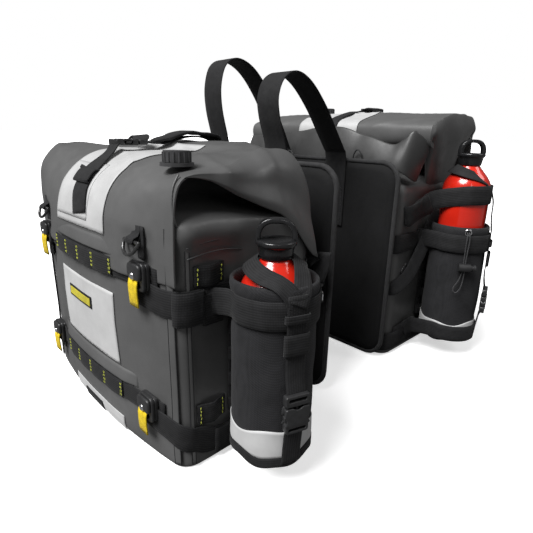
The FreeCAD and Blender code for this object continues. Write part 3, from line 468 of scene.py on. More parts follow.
def ribbon(name, side, path, across, width, mat="webbing", thick=WEB, count=None, taper=None, ripple=0.0):
    """Webbing along a path: a flat section with rounded edges, closed at both ends.

    across is the direction of its width, one vector or one for each point of the path.
    """
    p = np.array(path, float)
    if count is None:
        span = np.linalg.norm(np.diff(p, axis=0), axis=1).sum()
        count = max(4, int(span / 5.0))
    if np.ndim(across) == 2:
        joined = spline(np.hstack([p, np.array(across, float)]), count)
        p, wide = joined[:, :3], unit(joined[:, 3:])
    else:
        p = spline(p, count)
        wide = np.tile(unit(across), (count, 1))
    tangent = unit(np.gradient(p, axis=0))
    wide = unit(wide - tangent * np.sum(wide * tangent, axis=1, keepdims=True))
    normal = unit(np.cross(tangent, wide))
    half, t = width / 2.0, thick / 2.0
    edge = min(0.9, half * 0.3)
    section = [(-half, -t * 0.3), (-half + edge, -t), (-half * 0.4, -t), (half * 0.4, -t), (half - edge, -t),
               (half, -t * 0.3), (half, t * 0.3), (half - edge, t), (half * 0.4, t), (-half * 0.4, t),
               (-half + edge, t), (-half, t * 0.3)]
    verts, uvs = [], []
    length = np.concatenate([[0], np.cumsum(np.linalg.norm(np.diff(p, axis=0), axis=1))])
    for i in range(count):
        scale = 1.0 if taper is None else float(np.interp(i / (count - 1), *taper))
        lift = ripple * mnoise.noise(Vector((length[i] / 18.0, width, path[0][0])))
        for a, b in section:
            verts.append(p[i] + wide[i] * a * scale + normal[i] * (b + lift))
            uvs.append((length[i] / 1000.0, a / 1000.0))
    n = len(section)
    faces = grid_faces(count, n, True) + caps(count, n)
    return make_object(name, side, verts, faces, mat, uvs)


def lathe(name, side, centre, outline, mat, segments=56, shape=None):
    """A turned form about a vertical axis from (radius, z) points."""
    verts = []
    for r, z in outline:
        for j in range(segments):
            turn = 2.0 * math.pi * j / segments
            radius = r if shape is None else shape(r, z, turn)
            verts.append((centre[0] + radius * math.cos(turn), centre[1] + radius * math.sin(turn), z))
    faces = grid_faces(len(outline), segments, True)
    uvs = [(outline[i][1] / 1000.0, outline[i][0] * j * 0.11 / 1000.0)
           for i in range(len(outline)) for j in range(segments)]
    return make_object(name, side, verts, faces, mat, uvs)


def tube(name, side, path, radius, mat, segments=10, closed=False):
    """A round tube along a path."""
    p = np.array(path, float)
    if closed:
        tangent = unit(np.roll(p, -1, axis=0) - np.roll(p, 1, axis=0))
    else:
        tangent = unit(np.gradient(p, axis=0))
    seed = np.array((0.0, 0.0, 1.0)) if abs(tangent[0][2]) < 0.9 else np.array((1.0, 0.0, 0.0))
    verts, uvs = [], []
    normal = unit(np.cross(tangent[0], seed))
    at = 0.0
    for i, (point, t) in enumerate(zip(p, tangent)):
        normal = unit(normal - t * np.dot(normal, t))
        side_way = np.cross(t, normal)
        at += 0.0 if i == 0 else float(np.linalg.norm(p[i] - p[i - 1]))
        for j in range(segments):
            turn = 2.0 * math.pi * j / segments
            verts.append(point + radius * (normal * math.cos(turn) + side_way * math.sin(turn)))
            uvs.append((at / 1000.0, radius * turn / 1000.0))
    count = len(p)
    faces = grid_faces(count, segments, True)
    if closed:
        start = (count - 1) * segments
        for j in range(segments):
            k = (j + 1) % segments
            faces.append((start + j, start + k, k, j))
    else:
        faces += caps(count, segments)
    return make_object(name, side, verts, faces, mat, uvs)


def prism(outline, low, high, lift):
    """Vertices and faces of an outline drawn out between two levels."""
    n = len(outline)
    faces = [(j, (j + 1) % n, n + (j + 1) % n, n + j) for j in range(n)]
    return lift(outline, low) + lift(outline, high), faces + [tuple(range(n))[::-1], tuple(range(n, 2 * n))]


def slab(name, side, outline, low, high, axis, mat, bevel=1.2, holes=()):
    """A moulded plate: an outline drawn out along one axis, holed, with rounded edges.

    The outline is in the two other axes, in x, v, z order.
    """
    def lift(points, level):
        rows = []
        for a, b in points:
            rows.append({0: (level, a, b), 1: (a, level, b), 2: (a, b, level)}[axis])
        return rows
    obj = make_object(name, side, *prism(outline, low, high, lift), mat)
    for hole in holes:
        cutter = make_object(name + "_cut", side, *prism(hole, low - 5.0, high + 5.0, lift), mat)
        add_modifier(obj, "BOOLEAN", operation="DIFFERENCE", object=cutter, solver="EXACT")
        apply_modifiers(obj)
        bpy.data.objects.remove(cutter)
    add_modifier(obj, "BEVEL", width=bevel / 1000.0, segments=3, limit_method="ANGLE",
                 angle_limit=math.radians(40))
    apply_modifiers(obj)
    obj.data.set_sharp_from_angle(angle=math.radians(50))
    return obj


def rounded(x, y, radius, per_corner=5):
    """A rounded rectangle outline."""
    points = []
    centres = [(x[1] - radius, y[1] - radius, 0), (x[0] + radius, y[1] - radius, 90),
               (x[0] + radius, y[0] + radius, 180), (x[1] - radius, y[0] + radius, 270)]
    for cx, cy, start in centres:
        for i in range(per_corner + 1):
            turn = math.radians(start + 90.0 * i / per_corner)
            points.append((cx + radius * math.cos(turn), cy + radius * math.sin(turn)))
    return points


STITCH = 4.4                                # length of one stitch, and the gap after it
STITCH_GAP = 0.8


def stitches(name, side, lines, wide, proud, mat="stitch"):
    """Rows of short thread stitches: each line is (start, end, outward normal)."""
    verts, faces, uvs = [], [], []
    for start, end, normal in lines:
        a, b = np.array(start, float), np.array(end, float)
        length = np.linalg.norm(b - a)
        t = (b - a) / length
        n = unit(normal)
        w = np.cross(t, n)
        count = max(1, int(length / (STITCH + STITCH_GAP)))
        pitch = length / count
        for i in range(count):
            c = a + t * pitch * (i + 0.5) + w * (0.35 if i % 2 else -0.35)
            base = len(verts)
            h = pitch * STITCH / (STITCH + STITCH_GAP) / 2.0
            side_w = wide / 2
            for du, dw, dn in ((-h, 0, -0.1), (-h * 0.6, -side_w, 0.1), (h * 0.6, -side_w, 0.1), (h, 0, -0.1),
                               (h * 0.6, side_w, 0.1), (-h * 0.6, side_w, 0.1), (-h * 0.5, 0, proud),
                               (h * 0.5, 0, proud)):
                verts.append(c + t * du + w * dw + n * dn)
                uvs.append((du / 1000.0, dw / 1000.0))
            for face in ((0, 1, 6), (1, 2, 7, 6), (2, 3, 7), (3, 4, 7), (4, 5, 6, 7), (5, 0, 6)):
                faces.append(tuple(base + f for f in face))
            faces.append(tuple(base + f for f in (5, 4, 3, 2, 1, 0)))
    return make_object(name, side, verts, faces, mat, uvs)


# ---------------------------------------------------------------- bag body
# height, inset of each end, outer v, inner v, bulge of the outer face
STATIONS = np.array([
    (0.0, -1.0, 3.0, 238.0, 13.0),
    (5.0, -3.0, 0.5, 239.5, 15.0),
    (16.0, -3.0, 0.0, 240.0, 17.0),
    (45.0, -1.5, 0.0, 240.0, 18.0),
    (110.0, 0.0, 1.0, 240.0, 20.0),
    (180.0, 0.0, 0.0, 240.0, BULGE),
    (260.0, 0.0, 0.0, 240.0, 21.0),
    (330.0, 0.0, 0.0, 240.0, 18.0),
    (386.0, 20.0, 32.0, 230.0, 4.0),
])
INSET, OUTER_V, INNER_V, SWELL = 1, 2, 3, 4
# How much of an end of the plan each outer corner takes, and of its inner side each inner corner.
OUTER_SHARE = 0.14
INNER_SHARE = 0.08
# Columns of the body's skin: side of the plan, where on it they start and end, how many.
PLAN_STEPS = ((0, 0, 1, 40), (1, 0, OUTER_SHARE, 7), (1, OUTER_SHARE, 1, 34), (2, 0, INNER_SHARE, 6),
              (2, INNER_SHARE, 1 - INNER_SHARE, 22), (2, 1 - INNER_SHARE, 1, 6),
              (3, 0, 1 - OUTER_SHARE, 34), (3, 1 - OUTER_SHARE, 1, 7))


def station(z, *columns):
    """The named columns of STATIONS at a height."""
    return [np.interp(z, STATIONS[:, 0], STATIONS[:, column]) for column in columns]


def plan_arc(cx, cv, degrees, z):
    """A point of a rounded corner about (cx, cv), and the way outwards there."""
    turn = math.radians(degrees)
    way = np.array((math.cos(turn), math.sin(turn), 0.0))
    return np.array((cx, cv, z)) + CORNER_R * way, way


def plan_point(turn, z):
    """A point of the bag's rounded plan: turn runs 0-4 from the outer face's rear corner."""
    inset, v0, v1, bulge = station(z, INSET, OUTER_V, INNER_V, SWELL)
    x0, x1, r = REAR_X + inset, END_X - inset, CORNER_R
    leg = int(turn) % 4
    f = turn - int(turn)
    half = (x1 - x0) / 2.0 - r
    face_r = (half ** 2 + bulge ** 2) / (2.0 * bulge)
    if leg == 0:
        x = x0 + r + f * (x1 - x0 - 2 * r)
        swell = math.sqrt(face_r ** 2 - (x - (x0 + x1) / 2.0) ** 2) - (face_r - bulge)
        return np.array((x, v0 - swell, z)), np.array((0.0, -1.0, 0.0))
    if leg == 1:
        if f < OUTER_SHARE:
            return plan_arc(x1 - r, v0 + r, -90.0 + 90.0 * f / OUTER_SHARE, z)
        v = v0 + r + (f - OUTER_SHARE) / (1 - OUTER_SHARE) * (v1 - v0 - 2 * r)
        return np.array((x1, v, z)), np.array((1.0, 0.0, 0.0))
    if leg == 2:
        if f < INNER_SHARE:
            return plan_arc(x1 - r, v1 - r, 90.0 * f / INNER_SHARE, z)
        if f < 1 - INNER_SHARE:
            x = x1 - r - (f - INNER_SHARE) / (1 - 2 * INNER_SHARE) * (x1 - x0 - 2 * r)
            return np.array((x, v1, z)), np.array((0.0, 1.0, 0.0))
        return plan_arc(x0 + r, v1 - r, 90.0 + 90.0 * (f - 1 + INNER_SHARE) / INNER_SHARE, z)
    if f < 1 - OUTER_SHARE:
        v = v1 - r - f / (1 - OUTER_SHARE) * (v1 - v0 - 2 * r)
        return np.array((x0, v, z)), np.array((-1.0, 0.0, 0.0))
    return plan_arc(x0 + r, v0 + r, 180.0 + 90.0 * (f - 1 + OUTER_SHARE) / OUTER_SHARE, z)


GUSSET = {"left": 332.0, "right": 352.0}    # where each bag's ends start to fold inwards


def gusset_depth(side, v, z):
    """How far the bag's end folds in under the roll, with a shelf at its foot."""
    level = GUSSET[side] + 6.0 * math.sin(v / 38.0)
    depth = 54.0 * smoothstep(level - 5.0, level + 18.0, z)
    return depth * smoothstep(262.0, 200.0, v)


def soft_offset(side, place, normal):
    """The tarpaulin's swell, sag and creases, outwards in mm."""
    x, v, z = place
    seed = 3.1 if side == "left" else 8.7
    out = 1.6 * wrinkle(x, v, z, 120.0, seed) + 0.7 * wrinkle(x, v, z * 0.6, 46.0, seed + 2.0)
    on_end = abs(normal[0])
    on_outer = max(-normal[1], 0.0)
    for (low, high), share in list(zip(STRAPS, (on_end, on_end))) + list(zip(ROWS, (on_outer * 0.4,) * 2)):
        out -= 1.8 * math.exp(-((z - (low + high) / 2.0) / 24.0) ** 2) * share
    # a soft roll of fabric just under the gusset, and vertical drag folds below it
    out += on_end * 9.0 * math.exp(-((z - GUSSET[side] + 15.0) / 17.0) ** 2) * smoothstep(200, 110, v)
    drag = math.sin(v / 11.0 + 1.7 * wrinkle(x, v, z, 60.0, seed))
    out += on_end * 1.1 * drag * smoothstep(120, 300, z) * smoothstep(GUSSET[side] + 6, GUSSET[side] - 20, z)
    return out


def bag_body(side):
    """The body's skin: its rounded plan at each height, closed over the top and under the foot."""
    turns = [leg + f for leg, low, high, count in PLAN_STEPS
             for f in np.linspace(low, high, count, endpoint=False)]
    heights = [0.0, 2.0, 6.0, 12.0, 20.0, 32.0] + list(np.linspace(45, 386, 70))
    verts = []
    for z in heights:
        for turn in turns:
            place, normal = plan_point(turn, z)
            point = place + normal * soft_offset(side, place, normal)
            if abs(normal[0]) > 0.3:
                point[0] -= math.copysign(gusset_depth(side, place[1], z), normal[0]) * abs(normal[0])
            if z > 258.0:
                point[1] += 3.0 * smoothstep(258, 266, z) * max(-normal[1], 0.0)
            if z < 0.5:
                point[2] = 0.0
            verts.append(point)
    n = len(turns)
    faces = grid_faces(len(heights), n, True)
    for row, height in ((0, 0.0), (len(heights) - 1, 384.0)):
        start = row * n
        centre = len(verts)
        verts.append(np.array((MID_X, 128.0, height)))
        for j in range(n):
            faces.append((start + j, start + (j + 1) % n, centre))
    obj = make_object(side + "_body_skin", side, verts, faces, "tarpaulin")
    add_modifier(obj, "SUBSURF", levels=1, render_levels=1)
    return apply_modifiers(obj)


def face_v(x, z, lift=0.0):
    """v of the outer face's skin at a place, lifted outwards."""
    f = (x - REAR_X - CORNER_R) / (END_X - REAR_X - 2 * CORNER_R)
    place = plan_point(min(max(f, 0.0), 0.9999), z)[0]
    return place[1] - lift


def corner_welts(side):
    """The welded strips down both outer corners, the rim of each gusset and two weld lines under it."""
    made = []
    for sign, end in ((1.0, END_X), (-1.0, REAR_X)):
        for v, width in ((4.0, 9.0), (19.0, 5.0)):
            path = []
            for z in np.linspace(8.0, GUSSET[side] - 8.0, 24):
                turn = math.radians(-62.0 if v < 10.0 else -14.0)
                inset, v0 = station(z, INSET, OUTER_V)
                cx = end - sign * (inset + CORNER_R)
                r = CORNER_R + 1.6
                path.append((cx + sign * r * math.cos(turn), v0 + CORNER_R + r * math.sin(turn), z))
            turn = math.radians(28.0 if v < 10.0 else 76.0)
            across = (sign * math.cos(turn), math.sin(turn), 0.0)
            made.append(ribbon("welt", side, path, across, width, "tarpaulin", 1.2,
                               taper=([0.0, 0.93, 1.0], [1.0, 1.0, 0.1])))
            for edge in (-0.5, 0.5):
                shift = np.array(across) * width * edge
                line = [np.array(point) + shift for point in path]
                made.append(tube("seam", side, line, 0.8, "inner_dark", 6))
        foot = GUSSET[side]
        rim = [(end - sign * 4.0, 9.0, foot - 6.0), (end - sign * 1.0, 4.0, foot + 4.0),
               (end - sign * 3.0, 3.0, foot + 20.0), (end - sign * 6.0, 7.0, foot + 38.0),
               (end - sign * 8.0, 16.0, foot + 52.0)]
        made.append(tube("rim", side, spline(rim, 30), 1.3, "tarpaulin", 8))
        for z in (foot - 30.0, foot - 43.0):
            line = [(end + sign * (3.0 + 2.0 * math.sin(math.pi * f)), 16.0 + 84.0 * f,
                     z + 5.0 * math.sin(math.pi * f)) for f in np.linspace(0.0, 1.0, 24)]
            made.append(tube("weld", side, line, 0.9, "rail_rubber", 6))
    return join(side + "_corner_welts", made)


# ---------------------------------------------------------------- rolled tops
# Cross-section of the cover from behind the upper row to the roll's inner side, (v, z),
# at the middle of the bag and at its ends.
COVER_MIDDLE = {
    "left": [(-21.0, 256), (-20.0, 290), (-17.0, 322), (-9.0, 348), (6.0, 369), (26.0, 384), (44.0, 392.5),
             (64.0, 397), (92.0, 399), (118.0, 400), (134.0, 404), (149.0, 411), (172.0, 414.0),
             (200.0, 414.5), (222.0, 411), (233.0, 400), (235.0, 384), (231.0, 372), (222.0, 366)],
    "right": [(-21.0, 256), (-20.0, 290), (-17.0, 322), (-9.0, 350), (4.0, 372), (11.0, 395), (11.0, 420),
              (11.0, 442), (14.0, 461), (28.0, 473.5), (60.0, 474), (95.0, 474.5), (122.0, 473.5),
              (156.0, 465), (185.0, 456.5), (195.0, 447), (196.0, 430), (190.0, 415), (176.0, 410)],
}
COVER_END = {
    "left": [(0.0, 256), (0.0, 290), (0.0, 320), (1.0, 342), (4.0, 362), (11.0, 377), (26.0, 384.5),
             (58.0, 388.5), (88.0, 392), (116.0, 396), (136.0, 401), (153.0, 407), (174.0, 409.0),
             (200.0, 408.5), (221.0, 403), (233.0, 390), (237.0, 360), (238.0, 318), (236.0, 282)],
    "right": [(0.0, 256), (0.0, 290), (0.0, 322), (1.0, 348), (4.0, 370), (9.0, 395), (11.0, 420),
              (12.0, 442), (14.0, 458), (27.0, 470.0), (60.0, 472), (95.0, 473.0), (122.0, 472.0),
              (156.0, 463), (185.0, 454.5), (195.0, 445), (196.0, 428), (189.0, 414), (176.0, 410)],
}
# Lower edge of each end fold, as (v on the cover, v, z).
EAR_EDGE = {
    "left": [(11, 13, 381), (30, 32, 380), (52, 52, 375), (82, 82, 358), (121, 121, 342), (160, 163, 326),
             (185, 188, 308), (205, 207, 284), (221, 221, 268), (233, 232, 258), (240, 239, 255)],
    "right": [(11, 24, 438), (14, 30, 400), (27, 37, 352), (60, 58, 327), (95, 84, 325), (122, 106, 325),
              (156, 131, 328), (185, 149, 352), (195, 164, 395), (198, 178, 420)],
}
EAR_START = {"left": 5, "right": 7}
COVER_ROWS = 76
EAR_ROWS = 20
COVER_REACH = {"left": 0.0, "right": 24.0}
FLAP_SLOPE = {"left": 34.0, "right": 0.0}    # how far the folded ends lean outwards over their drop


def cover_section(side, x):
    """The cover's cross-section at x, between that of the middle and that of the ends."""
    near_end = smoothstep(0.50, 1.0, abs(x - MID_X) / (HALF_LENGTH + COVER_REACH[side]))
    middle = spline(COVER_MIDDLE[side], COVER_ROWS)
    ends = spline(COVER_END[side], COVER_ROWS)
    return middle * (1.0 - near_end) + ends * near_end


def cover_point(side, s, x, section, lift=0.0):
    """A point of the cover, with its creases, s rows along the cross-section at x."""
    v, z = section[s]
    after = section[min(s + 1, COVER_ROWS - 1)]
    before = section[max(s - 1, 0)]
    t = unit(after - before)
    normal = np.array((-t[1], t[0]))
    seed = 1.3 if side == "left" else 6.1
    crease = 2.4 * wrinkle(x, v, z, 75.0, seed) + 1.0 * wrinkle(x * 0.5, v, z, 30.0, seed)
    # long folds that run from the roll to the ends
    ridge = 1.0 - abs(math.sin((x - MID_X) * 0.012 + v * 0.035 + 1.2))
    crease += 2.6 * ridge ** 6 * smoothstep(340, 385, z)
    crease *= smoothstep(262, 300, z)
    v, z = np.array((v, z)) + normal * (crease + lift)
    for ring_x in RING_X:
        dent = RING_DENT[side] * smoothstep(34.0, 16.0, abs(x - ring_x))
        v += dent * smoothstep(266.0, 278.0, z) * smoothstep(322.0, 306.0, z)
    if side == "left":
        rear = smoothstep(MID_X - 70.0, REAR_X, x)
        z += 17.0 * rear * smoothstep(3.0, 42.0, v) * smoothstep(150.0, 60.0, v)
    return np.array((x, v, z))


def end_fold(side, sign, column, columns, section, verts, faces):
    """Adds the fold that hangs from one end of the cover: from its last column down to EAR_EDGE."""
    edge = np.array(EAR_EDGE[side], float)
    first = int(COVER_ROWS * EAR_START[side] / len(COVER_END[side])) + 1
    start = len(verts)
    rows = COVER_ROWS - first
    running = np.maximum.accumulate(section[:, 0])
    for s in range(first, COVER_ROWS):
        top = verts[s * columns + column]
        key = running[s] + 0.35 * max(0.0, s - COVER_ROWS * 0.86)
        low_v, low_z = (np.interp(key, edge[:, 0], edge[:, k]) for k in (1, 2))
        drop = top[2] - low_z
        for e in range(1, EAR_ROWS + 1):
            f = e / EAR_ROWS
            down = top[2] - max(drop, 0.0) * f ** 1.15
            v = top[1] + (low_v - top[1]) * f ** 0.9
            bend = min(max(drop, 0.0) / 26.0, 1.0)
            out = (13.0 if side == "left" else 6.0) * bend * (1.0 - (1.0 - min(f * 3.2, 1.0)) ** 2)
            lean = 0.55 * math.sin(math.pi / 2 * min(f * 1.8, 1.0)) + 0.45 * smoothstep(0.5, 1.0, f)
            out += FLAP_SLOPE[side] * smoothstep(64.0, 140.0, top[1]) * bend * lean
            billow = 5.0 * bend * math.sin(math.pi * f) * wrinkle(0, v, down, 55.0, 4.0)
            curl = -3.5 * bend * smoothstep(0.86, 1.0, f)
            if side == "right":
                out -= 26.0 * bend * smoothstep(0.15, 1.0, f)
            verts.append(np.array((top[0] + sign * (out + billow + curl), v, down)))
    for s in range(rows - 1):
        for e in range(EAR_ROWS):
            a0 = (first + s) * columns + column if e == 0 else start + s * EAR_ROWS + e - 1
            b0 = (first + s + 1) * columns + column if e == 0 else start + (s + 1) * EAR_ROWS + e - 1
            a1 = start + s * EAR_ROWS + e
            b1 = start + (s + 1) * EAR_ROWS + e
            faces.append((a0, b0, b1, a1) if sign > 0 else (a0, a1, b1, b0))


def cover(side):
    """The top sheet: up from the outer face, over the mouth, round the roll, folded at its ends."""
    reach = HALF_LENGTH + COVER_REACH[side]
    columns = 97
    crowd = math.pi / 2 * 0.96                  # columns stand closer together towards the ends
    xs = MID_X + reach * np.sin(np.linspace(-1, 1, columns) * crowd) / math.sin(crowd)
    sections = [cover_section(side, x) for x in xs]
    verts = []
    for s in range(COVER_ROWS):
        for x, section in zip(xs, sections):
            place = cover_point(side, s, x, section)
            drawn_in = FLAP_SLOPE[side] * smoothstep(64.0, 140.0, place[1])
            place[0] -= drawn_in * ((x - MID_X) / reach) ** 3
            verts.append(place)
    faces = grid_faces(COVER_ROWS, columns)
    for sign, column in ((1.0, columns - 1), (-1.0, 0)):
        end_fold(side, sign, column, columns, sections[column], verts, faces)
    return sheet(side + "_top_cover", side, verts, faces, "tarpaulin", 0.0026, -1.0, True)


# The right bag's mouth fabric, from its rear end round the bottle corner: foot x, v, z and top x, v, z.
MOUTH_WALL = (
    (-255.0, 240.5, 372.0, -253.0, 224.0, 424.0),
    (-161.0, 240.5, 372.0, -161.0, 222.0, 428.0),
    (-18.0, 240.5, 372.0, -18.0, 220.0, 446.0),
    (57.0, 240.5, 372.0, 57.0, 220.0, 433.0),
    (128.0, 240.5, 372.0, 126.0, 224.0, 416.0),
    (150.0, 239.0, 370.0, 148.0, 221.0, 424.0),
    (162.0, 232.0, 364.0, 164.0, 213.0, 439.0),
    (166.0, 217.0, 356.0, 175.0, 203.0, 431.0),
    (166.0, 200.0, 350.0, 182.0, 192.0, 419.0),
    (164.0, 184.0, 348.0, 181.0, 182.0, 404.0),
)


def inner_slope():
    """The right bag's mouth fabric, drawn up to a ridge before the roll, with a pleat at the corner, in a
    darker copy of the coat that carries painted shade.
    """
    wall = spline(MOUTH_WALL, 110)
    steps = np.concatenate((np.linspace(0.0, 1.0, 16), np.linspace(1.05, 1.35, 5)))
    verts = []
    for step in steps:
        rise = min(step, 1.0)
        over = max(step - 1.0, 0.0)
        for row in wall:
            foot, top = row[:3], row[3:]
            place = foot + (top - foot) * np.array((rise, rise ** 1.6, rise))
            turn = smoothstep(150.0, 168.0, top[0])
            x, v, z = place + over * np.array((-42.0 * turn, -42.0 + 20.0 * turn, -150.0 * over))
            pucker = 3.0 * wrinkle(x, v * 0.5, z, 60.0, 5.1)
            pucker += 0.9 * math.sin(x / 12.0 + 3.0 * wrinkle(x, v, z, 60.0, 3.3))
            verts.append((x, v + 0.6 * pucker * rise, z + 0.6 * pucker * rise))
    faces = grid_faces(len(steps), len(wall))
    # the darker tarpaulin copy paints the shade that falls on this fabric
    return sheet("right_mouth_fabric", "right", verts, faces, "tarpaulin_shaded_copy", 0.0014, smoothed=True)


# Grids of the sheets that lie on the cover and on the outer face.
PATCH_ROWS = 22
PATCH_COLUMNS = {"cover": 40, "face": 34}


def cover_patch(name, side, x_range, row_range, lift, mat, thick=0.0009):
    """A sheet that lies on the cover between two x and two rows of its section."""
    xs = np.linspace(*x_range, PATCH_COLUMNS["cover"])
    rows = np.arange(row_range[0], row_range[1] + 1)
    verts = []
    sections = [cover_section(side, x) for x in xs]
    for s in rows:
        for x, section in zip(xs, sections):
            verts.append(cover_point(side, s, x, section, lift))
    return sheet(name, side, verts, grid_faces(len(rows), len(xs)), mat, thick)


def face_patch(name, side, x_range, z_range, lift, mat, thick=0.0009):
    """A sheet that lies on the outer face."""
    verts = []
    for z in np.linspace(*z_range, PATCH_ROWS):
        for x in np.linspace(*x_range, PATCH_COLUMNS["face"]):
            place = np.array((x, face_v(x, z), z))
            out = soft_offset(side, place, np.array((0.0, -1.0, 0.0)))
            verts.append((x, place[1] - out - lift, z))
    return sheet(name, side, verts, grid_faces(PATCH_ROWS, PATCH_COLUMNS["face"]), mat, thick)


# ---------------------------------------------------------------- rows of webbing on the outer face
LOOP_PITCH = 46.0
LOOPS = 4
LEDGE_REACH = 127.0


def face_path(x_range, z, lift, count):
    """A line along the outer face at one height, lifted off it."""
    points = []
    for x in np.linspace(*x_range, count):
        lifted = lift(x) if callable(lift) else lift
        points.append((x, face_v(x, z) - lifted, z))
    return points


def outer_rows(side):
    """Both rows: a base strap, and a line of loops that stand proud between their stitches."""
    made, threads = [], []
    first = MID_X - LOOP_PITCH * LOOPS / 2.0
    for low, high in ROWS:
        z = (low + high) / 2.0
        base = face_path((REAR_X + CORNER_R + 6, END_X - CORNER_R - 6), z, 2.0, 60)
        made.append(ribbon("row", side, base, UP, high - low, ripple=0.5))

        def proud(x):
            phase = (x - first) / LOOP_PITCH
            return 4.2 + 1.6 * abs(math.sin(math.pi * phase)) ** 0.6
        loops = face_path((first - 3.0, first + LOOPS * LOOP_PITCH + 3.0), z, proud, 120)
        made.append(ribbon("loops", side, loops, UP, high - low - 1.5, count=130))
        for i in range(LOOPS + 1):
            x = first + i * LOOP_PITCH
            for dx in (-1.5, 1.5):
                v = face_v(x, z, 5.6)
                threads.append(((x + dx, v, low + 3), (x + dx, v, high - 3), OUTWARD))
    obj = join(side + "_row_webbing", made)
    thread = stitches(side + "_row_stitches", side, threads, wide=1.2, proud=0.9)
    return obj, thread


def edge_ledges(side):
    """The moulded ledges over the rows: a rounded lip that follows the swollen face."""
    made = []
    for _, high in ROWS:
        rows = [(0.4, high + 20.6), (1.6, high + 20.4), (3.0, high + 16.0), (4.4, high + 10.0),
                (5.6, high + 4.0), (5.4, high + 2.0), (3.6, high + 1.0), (0.4, high + 1.0)]
        xs = np.linspace(MID_X - LEDGE_REACH, MID_X + LEDGE_REACH, 60)
        verts = []
        for x in xs:
            fade = smoothstep(0.0, 30.0, LEDGE_REACH - abs(x - MID_X)) * 0.85 + 0.15
            for lift, z in rows:
                verts.append((x, face_v(x, z) - lift * fade, z))
        n = len(rows)
        faces = grid_faces(len(xs), n, True) + caps(len(xs), n)
        made.append(make_object("ledge", side, verts, faces, "tarpaulin"))
    return join(side + "_row_ledges", made)


def anchor(side, x, z):
    """A moulded ladder anchor: a flat plate with a slot, a raised hood over it and a foot behind."""
    v = face_v(x, z + 18.0) - 7.0
    outline = rounded((x - 17.0, x + 17.0), (z, z + 36.0), 7.0)
    slot = rounded((x - 9.0, x + 9.0), (z + 4.0, z + 10.0), 2.0, 3)
    plate = slab("anchor", side, outline, v - 4.0, v + 1.5, 1, "buckle_plastic", 1.6, holes=[slot])
    hood = slab("anchor_hood", side, rounded((x - 15.0, x + 15.0), (z + 14.0, z + 34.5), 6.0),
                v - 8.5, v - 3.0, 1, "buckle_plastic", 2.6)
    foot = slab("anchor_foot", side, rounded((x - 17.0, x + 17.0), (z + 1.0, z + 35.0), 5.0),
                v + 1.0, v + 6.0, 1, "buckle_plastic", 1.0)
    return [plate, hood, foot]


def anchors(side):
    """Four ladder anchors, each with its rivet and its yellow pull tab."""
    made, rivets, tabs = [], [], []
    for x in ANCHOR_X:
        for low, _ in ROWS:
            z = low - 2.0
            made += anchor(side, x, z)
            v = face_v(x, z + 18.0) - 7.0
            seat = (x - 2.0, v - 8.3, z + 18.5)
            rivets.append(dome("rivet", side, seat, OUTWARD, 4.6, 2.4, "rivet_metal"))
            left = x - 4.0
            path = [(left, v - 5.6, z + 13.0), (left, v - 7.0, z + 8.0), (left, v - 7.0, z - 5.0),
                    (left, v - 6.0, z - 21.0)]
            tabs.append(ribbon("tab", side, path, ALONG, 21.0, "tab_yellow", 2.4))
    return (join(side + "_anchor_plates", made), join(side + "_anchor_rivets", rivets),
            join(side + "_yellow_tabs", tabs))


DOME_SEGMENTS = 20
DOME_RINGS = 6


def dome(name, side, centre, axis, radius, height, mat):
    """A domed stud: half a squashed ball with a short skirt."""
    axis = unit(axis)
    a = unit(np.cross(axis, (0.3, 0.5, 0.81)))
    b = np.cross(axis, a)
    ways = [a * math.cos(2 * math.pi * j / DOME_SEGMENTS) + b * math.sin(2 * math.pi * j / DOME_SEGMENTS)
            for j in range(DOME_SEGMENTS)]
    verts = []
    for i in range(DOME_RINGS + 1):
        f = math.pi / 2 * i / DOME_RINGS
        verts += [np.array(centre) + way * radius * math.cos(f) + axis * height * math.sin(f) for way in ways]
    faces = grid_faces(DOME_RINGS + 1, DOME_SEGMENTS, True)
    verts += [np.array(centre) + way * radius * 1.02 - axis * 1.2 for way in ways]
    base = (DOME_RINGS + 1) * DOME_SEGMENTS
    for j in range(DOME_SEGMENTS):
        faces.append((j, base + j, base + (j + 1) % DOME_SEGMENTS, (j + 1) % DOME_SEGMENTS))
    faces.append(tuple(range(base, base + DOME_SEGMENTS)))
    return make_object(name, side, verts, faces, mat)


def ring_tabs(side):
    """A folded web tab and its patch for each lashing ring."""
    made = []
    for x in RING_X:
        v = face_v(x, RING_Z)
        patch = [(x, v - 2.0, RING_Z - 22.0), (x, v - 2.2, RING_Z), (x, v - 2.0, RING_Z + 18.0)]
        made.append(ribbon("patch", side, patch, ALONG, 30.0, "webbing", 1.8))
        top = [(x, v - 3.0, RING_Z + 18.0), (x, v - 4.0, RING_Z + 8.0)]
        bar = ring_axis_v(x)
        around = [(x, bar - 3.4, RING_Z + 3.0), (x, bar - 4.0, RING_Z - 1.0), (x, bar - 1.0, RING_Z - 4.4),
                  (x, bar + 3.6, RING_Z - 3.0), (x, v - 3.0, RING_Z + 6.0)]
        made.append(ribbon("tab", side, top + around, ALONG, 18.0, "webbing", 1.4))
    return join(side + "_ring_tabs", made)


def ring_axis_v(x):
    """v of the straight bar that a lashing ring turns on."""
    return CAD_FACE_R - BULGE - math.sqrt((CAD_FACE_R + 9.0) ** 2 - (x - MID_X) ** 2)


CAD_CHORD = HALF_LENGTH - CORNER_R
CAD_FACE_R = (CAD_CHORD ** 2 + BULGE ** 2) / (2.0 * BULGE)


# ---------------------------------------------------------------- straps round the bag's ends
# Centre of each end strap at the anchor, at the corner, and at four places across the end.
STRAP_LEVELS = {
    "upper": (242.0, 234.0, 232.0, 232.0, 232.0, 232.0),
    "lower": (68.0, 60.0, 42.0, 32.0, 29.0, 29.0),
}


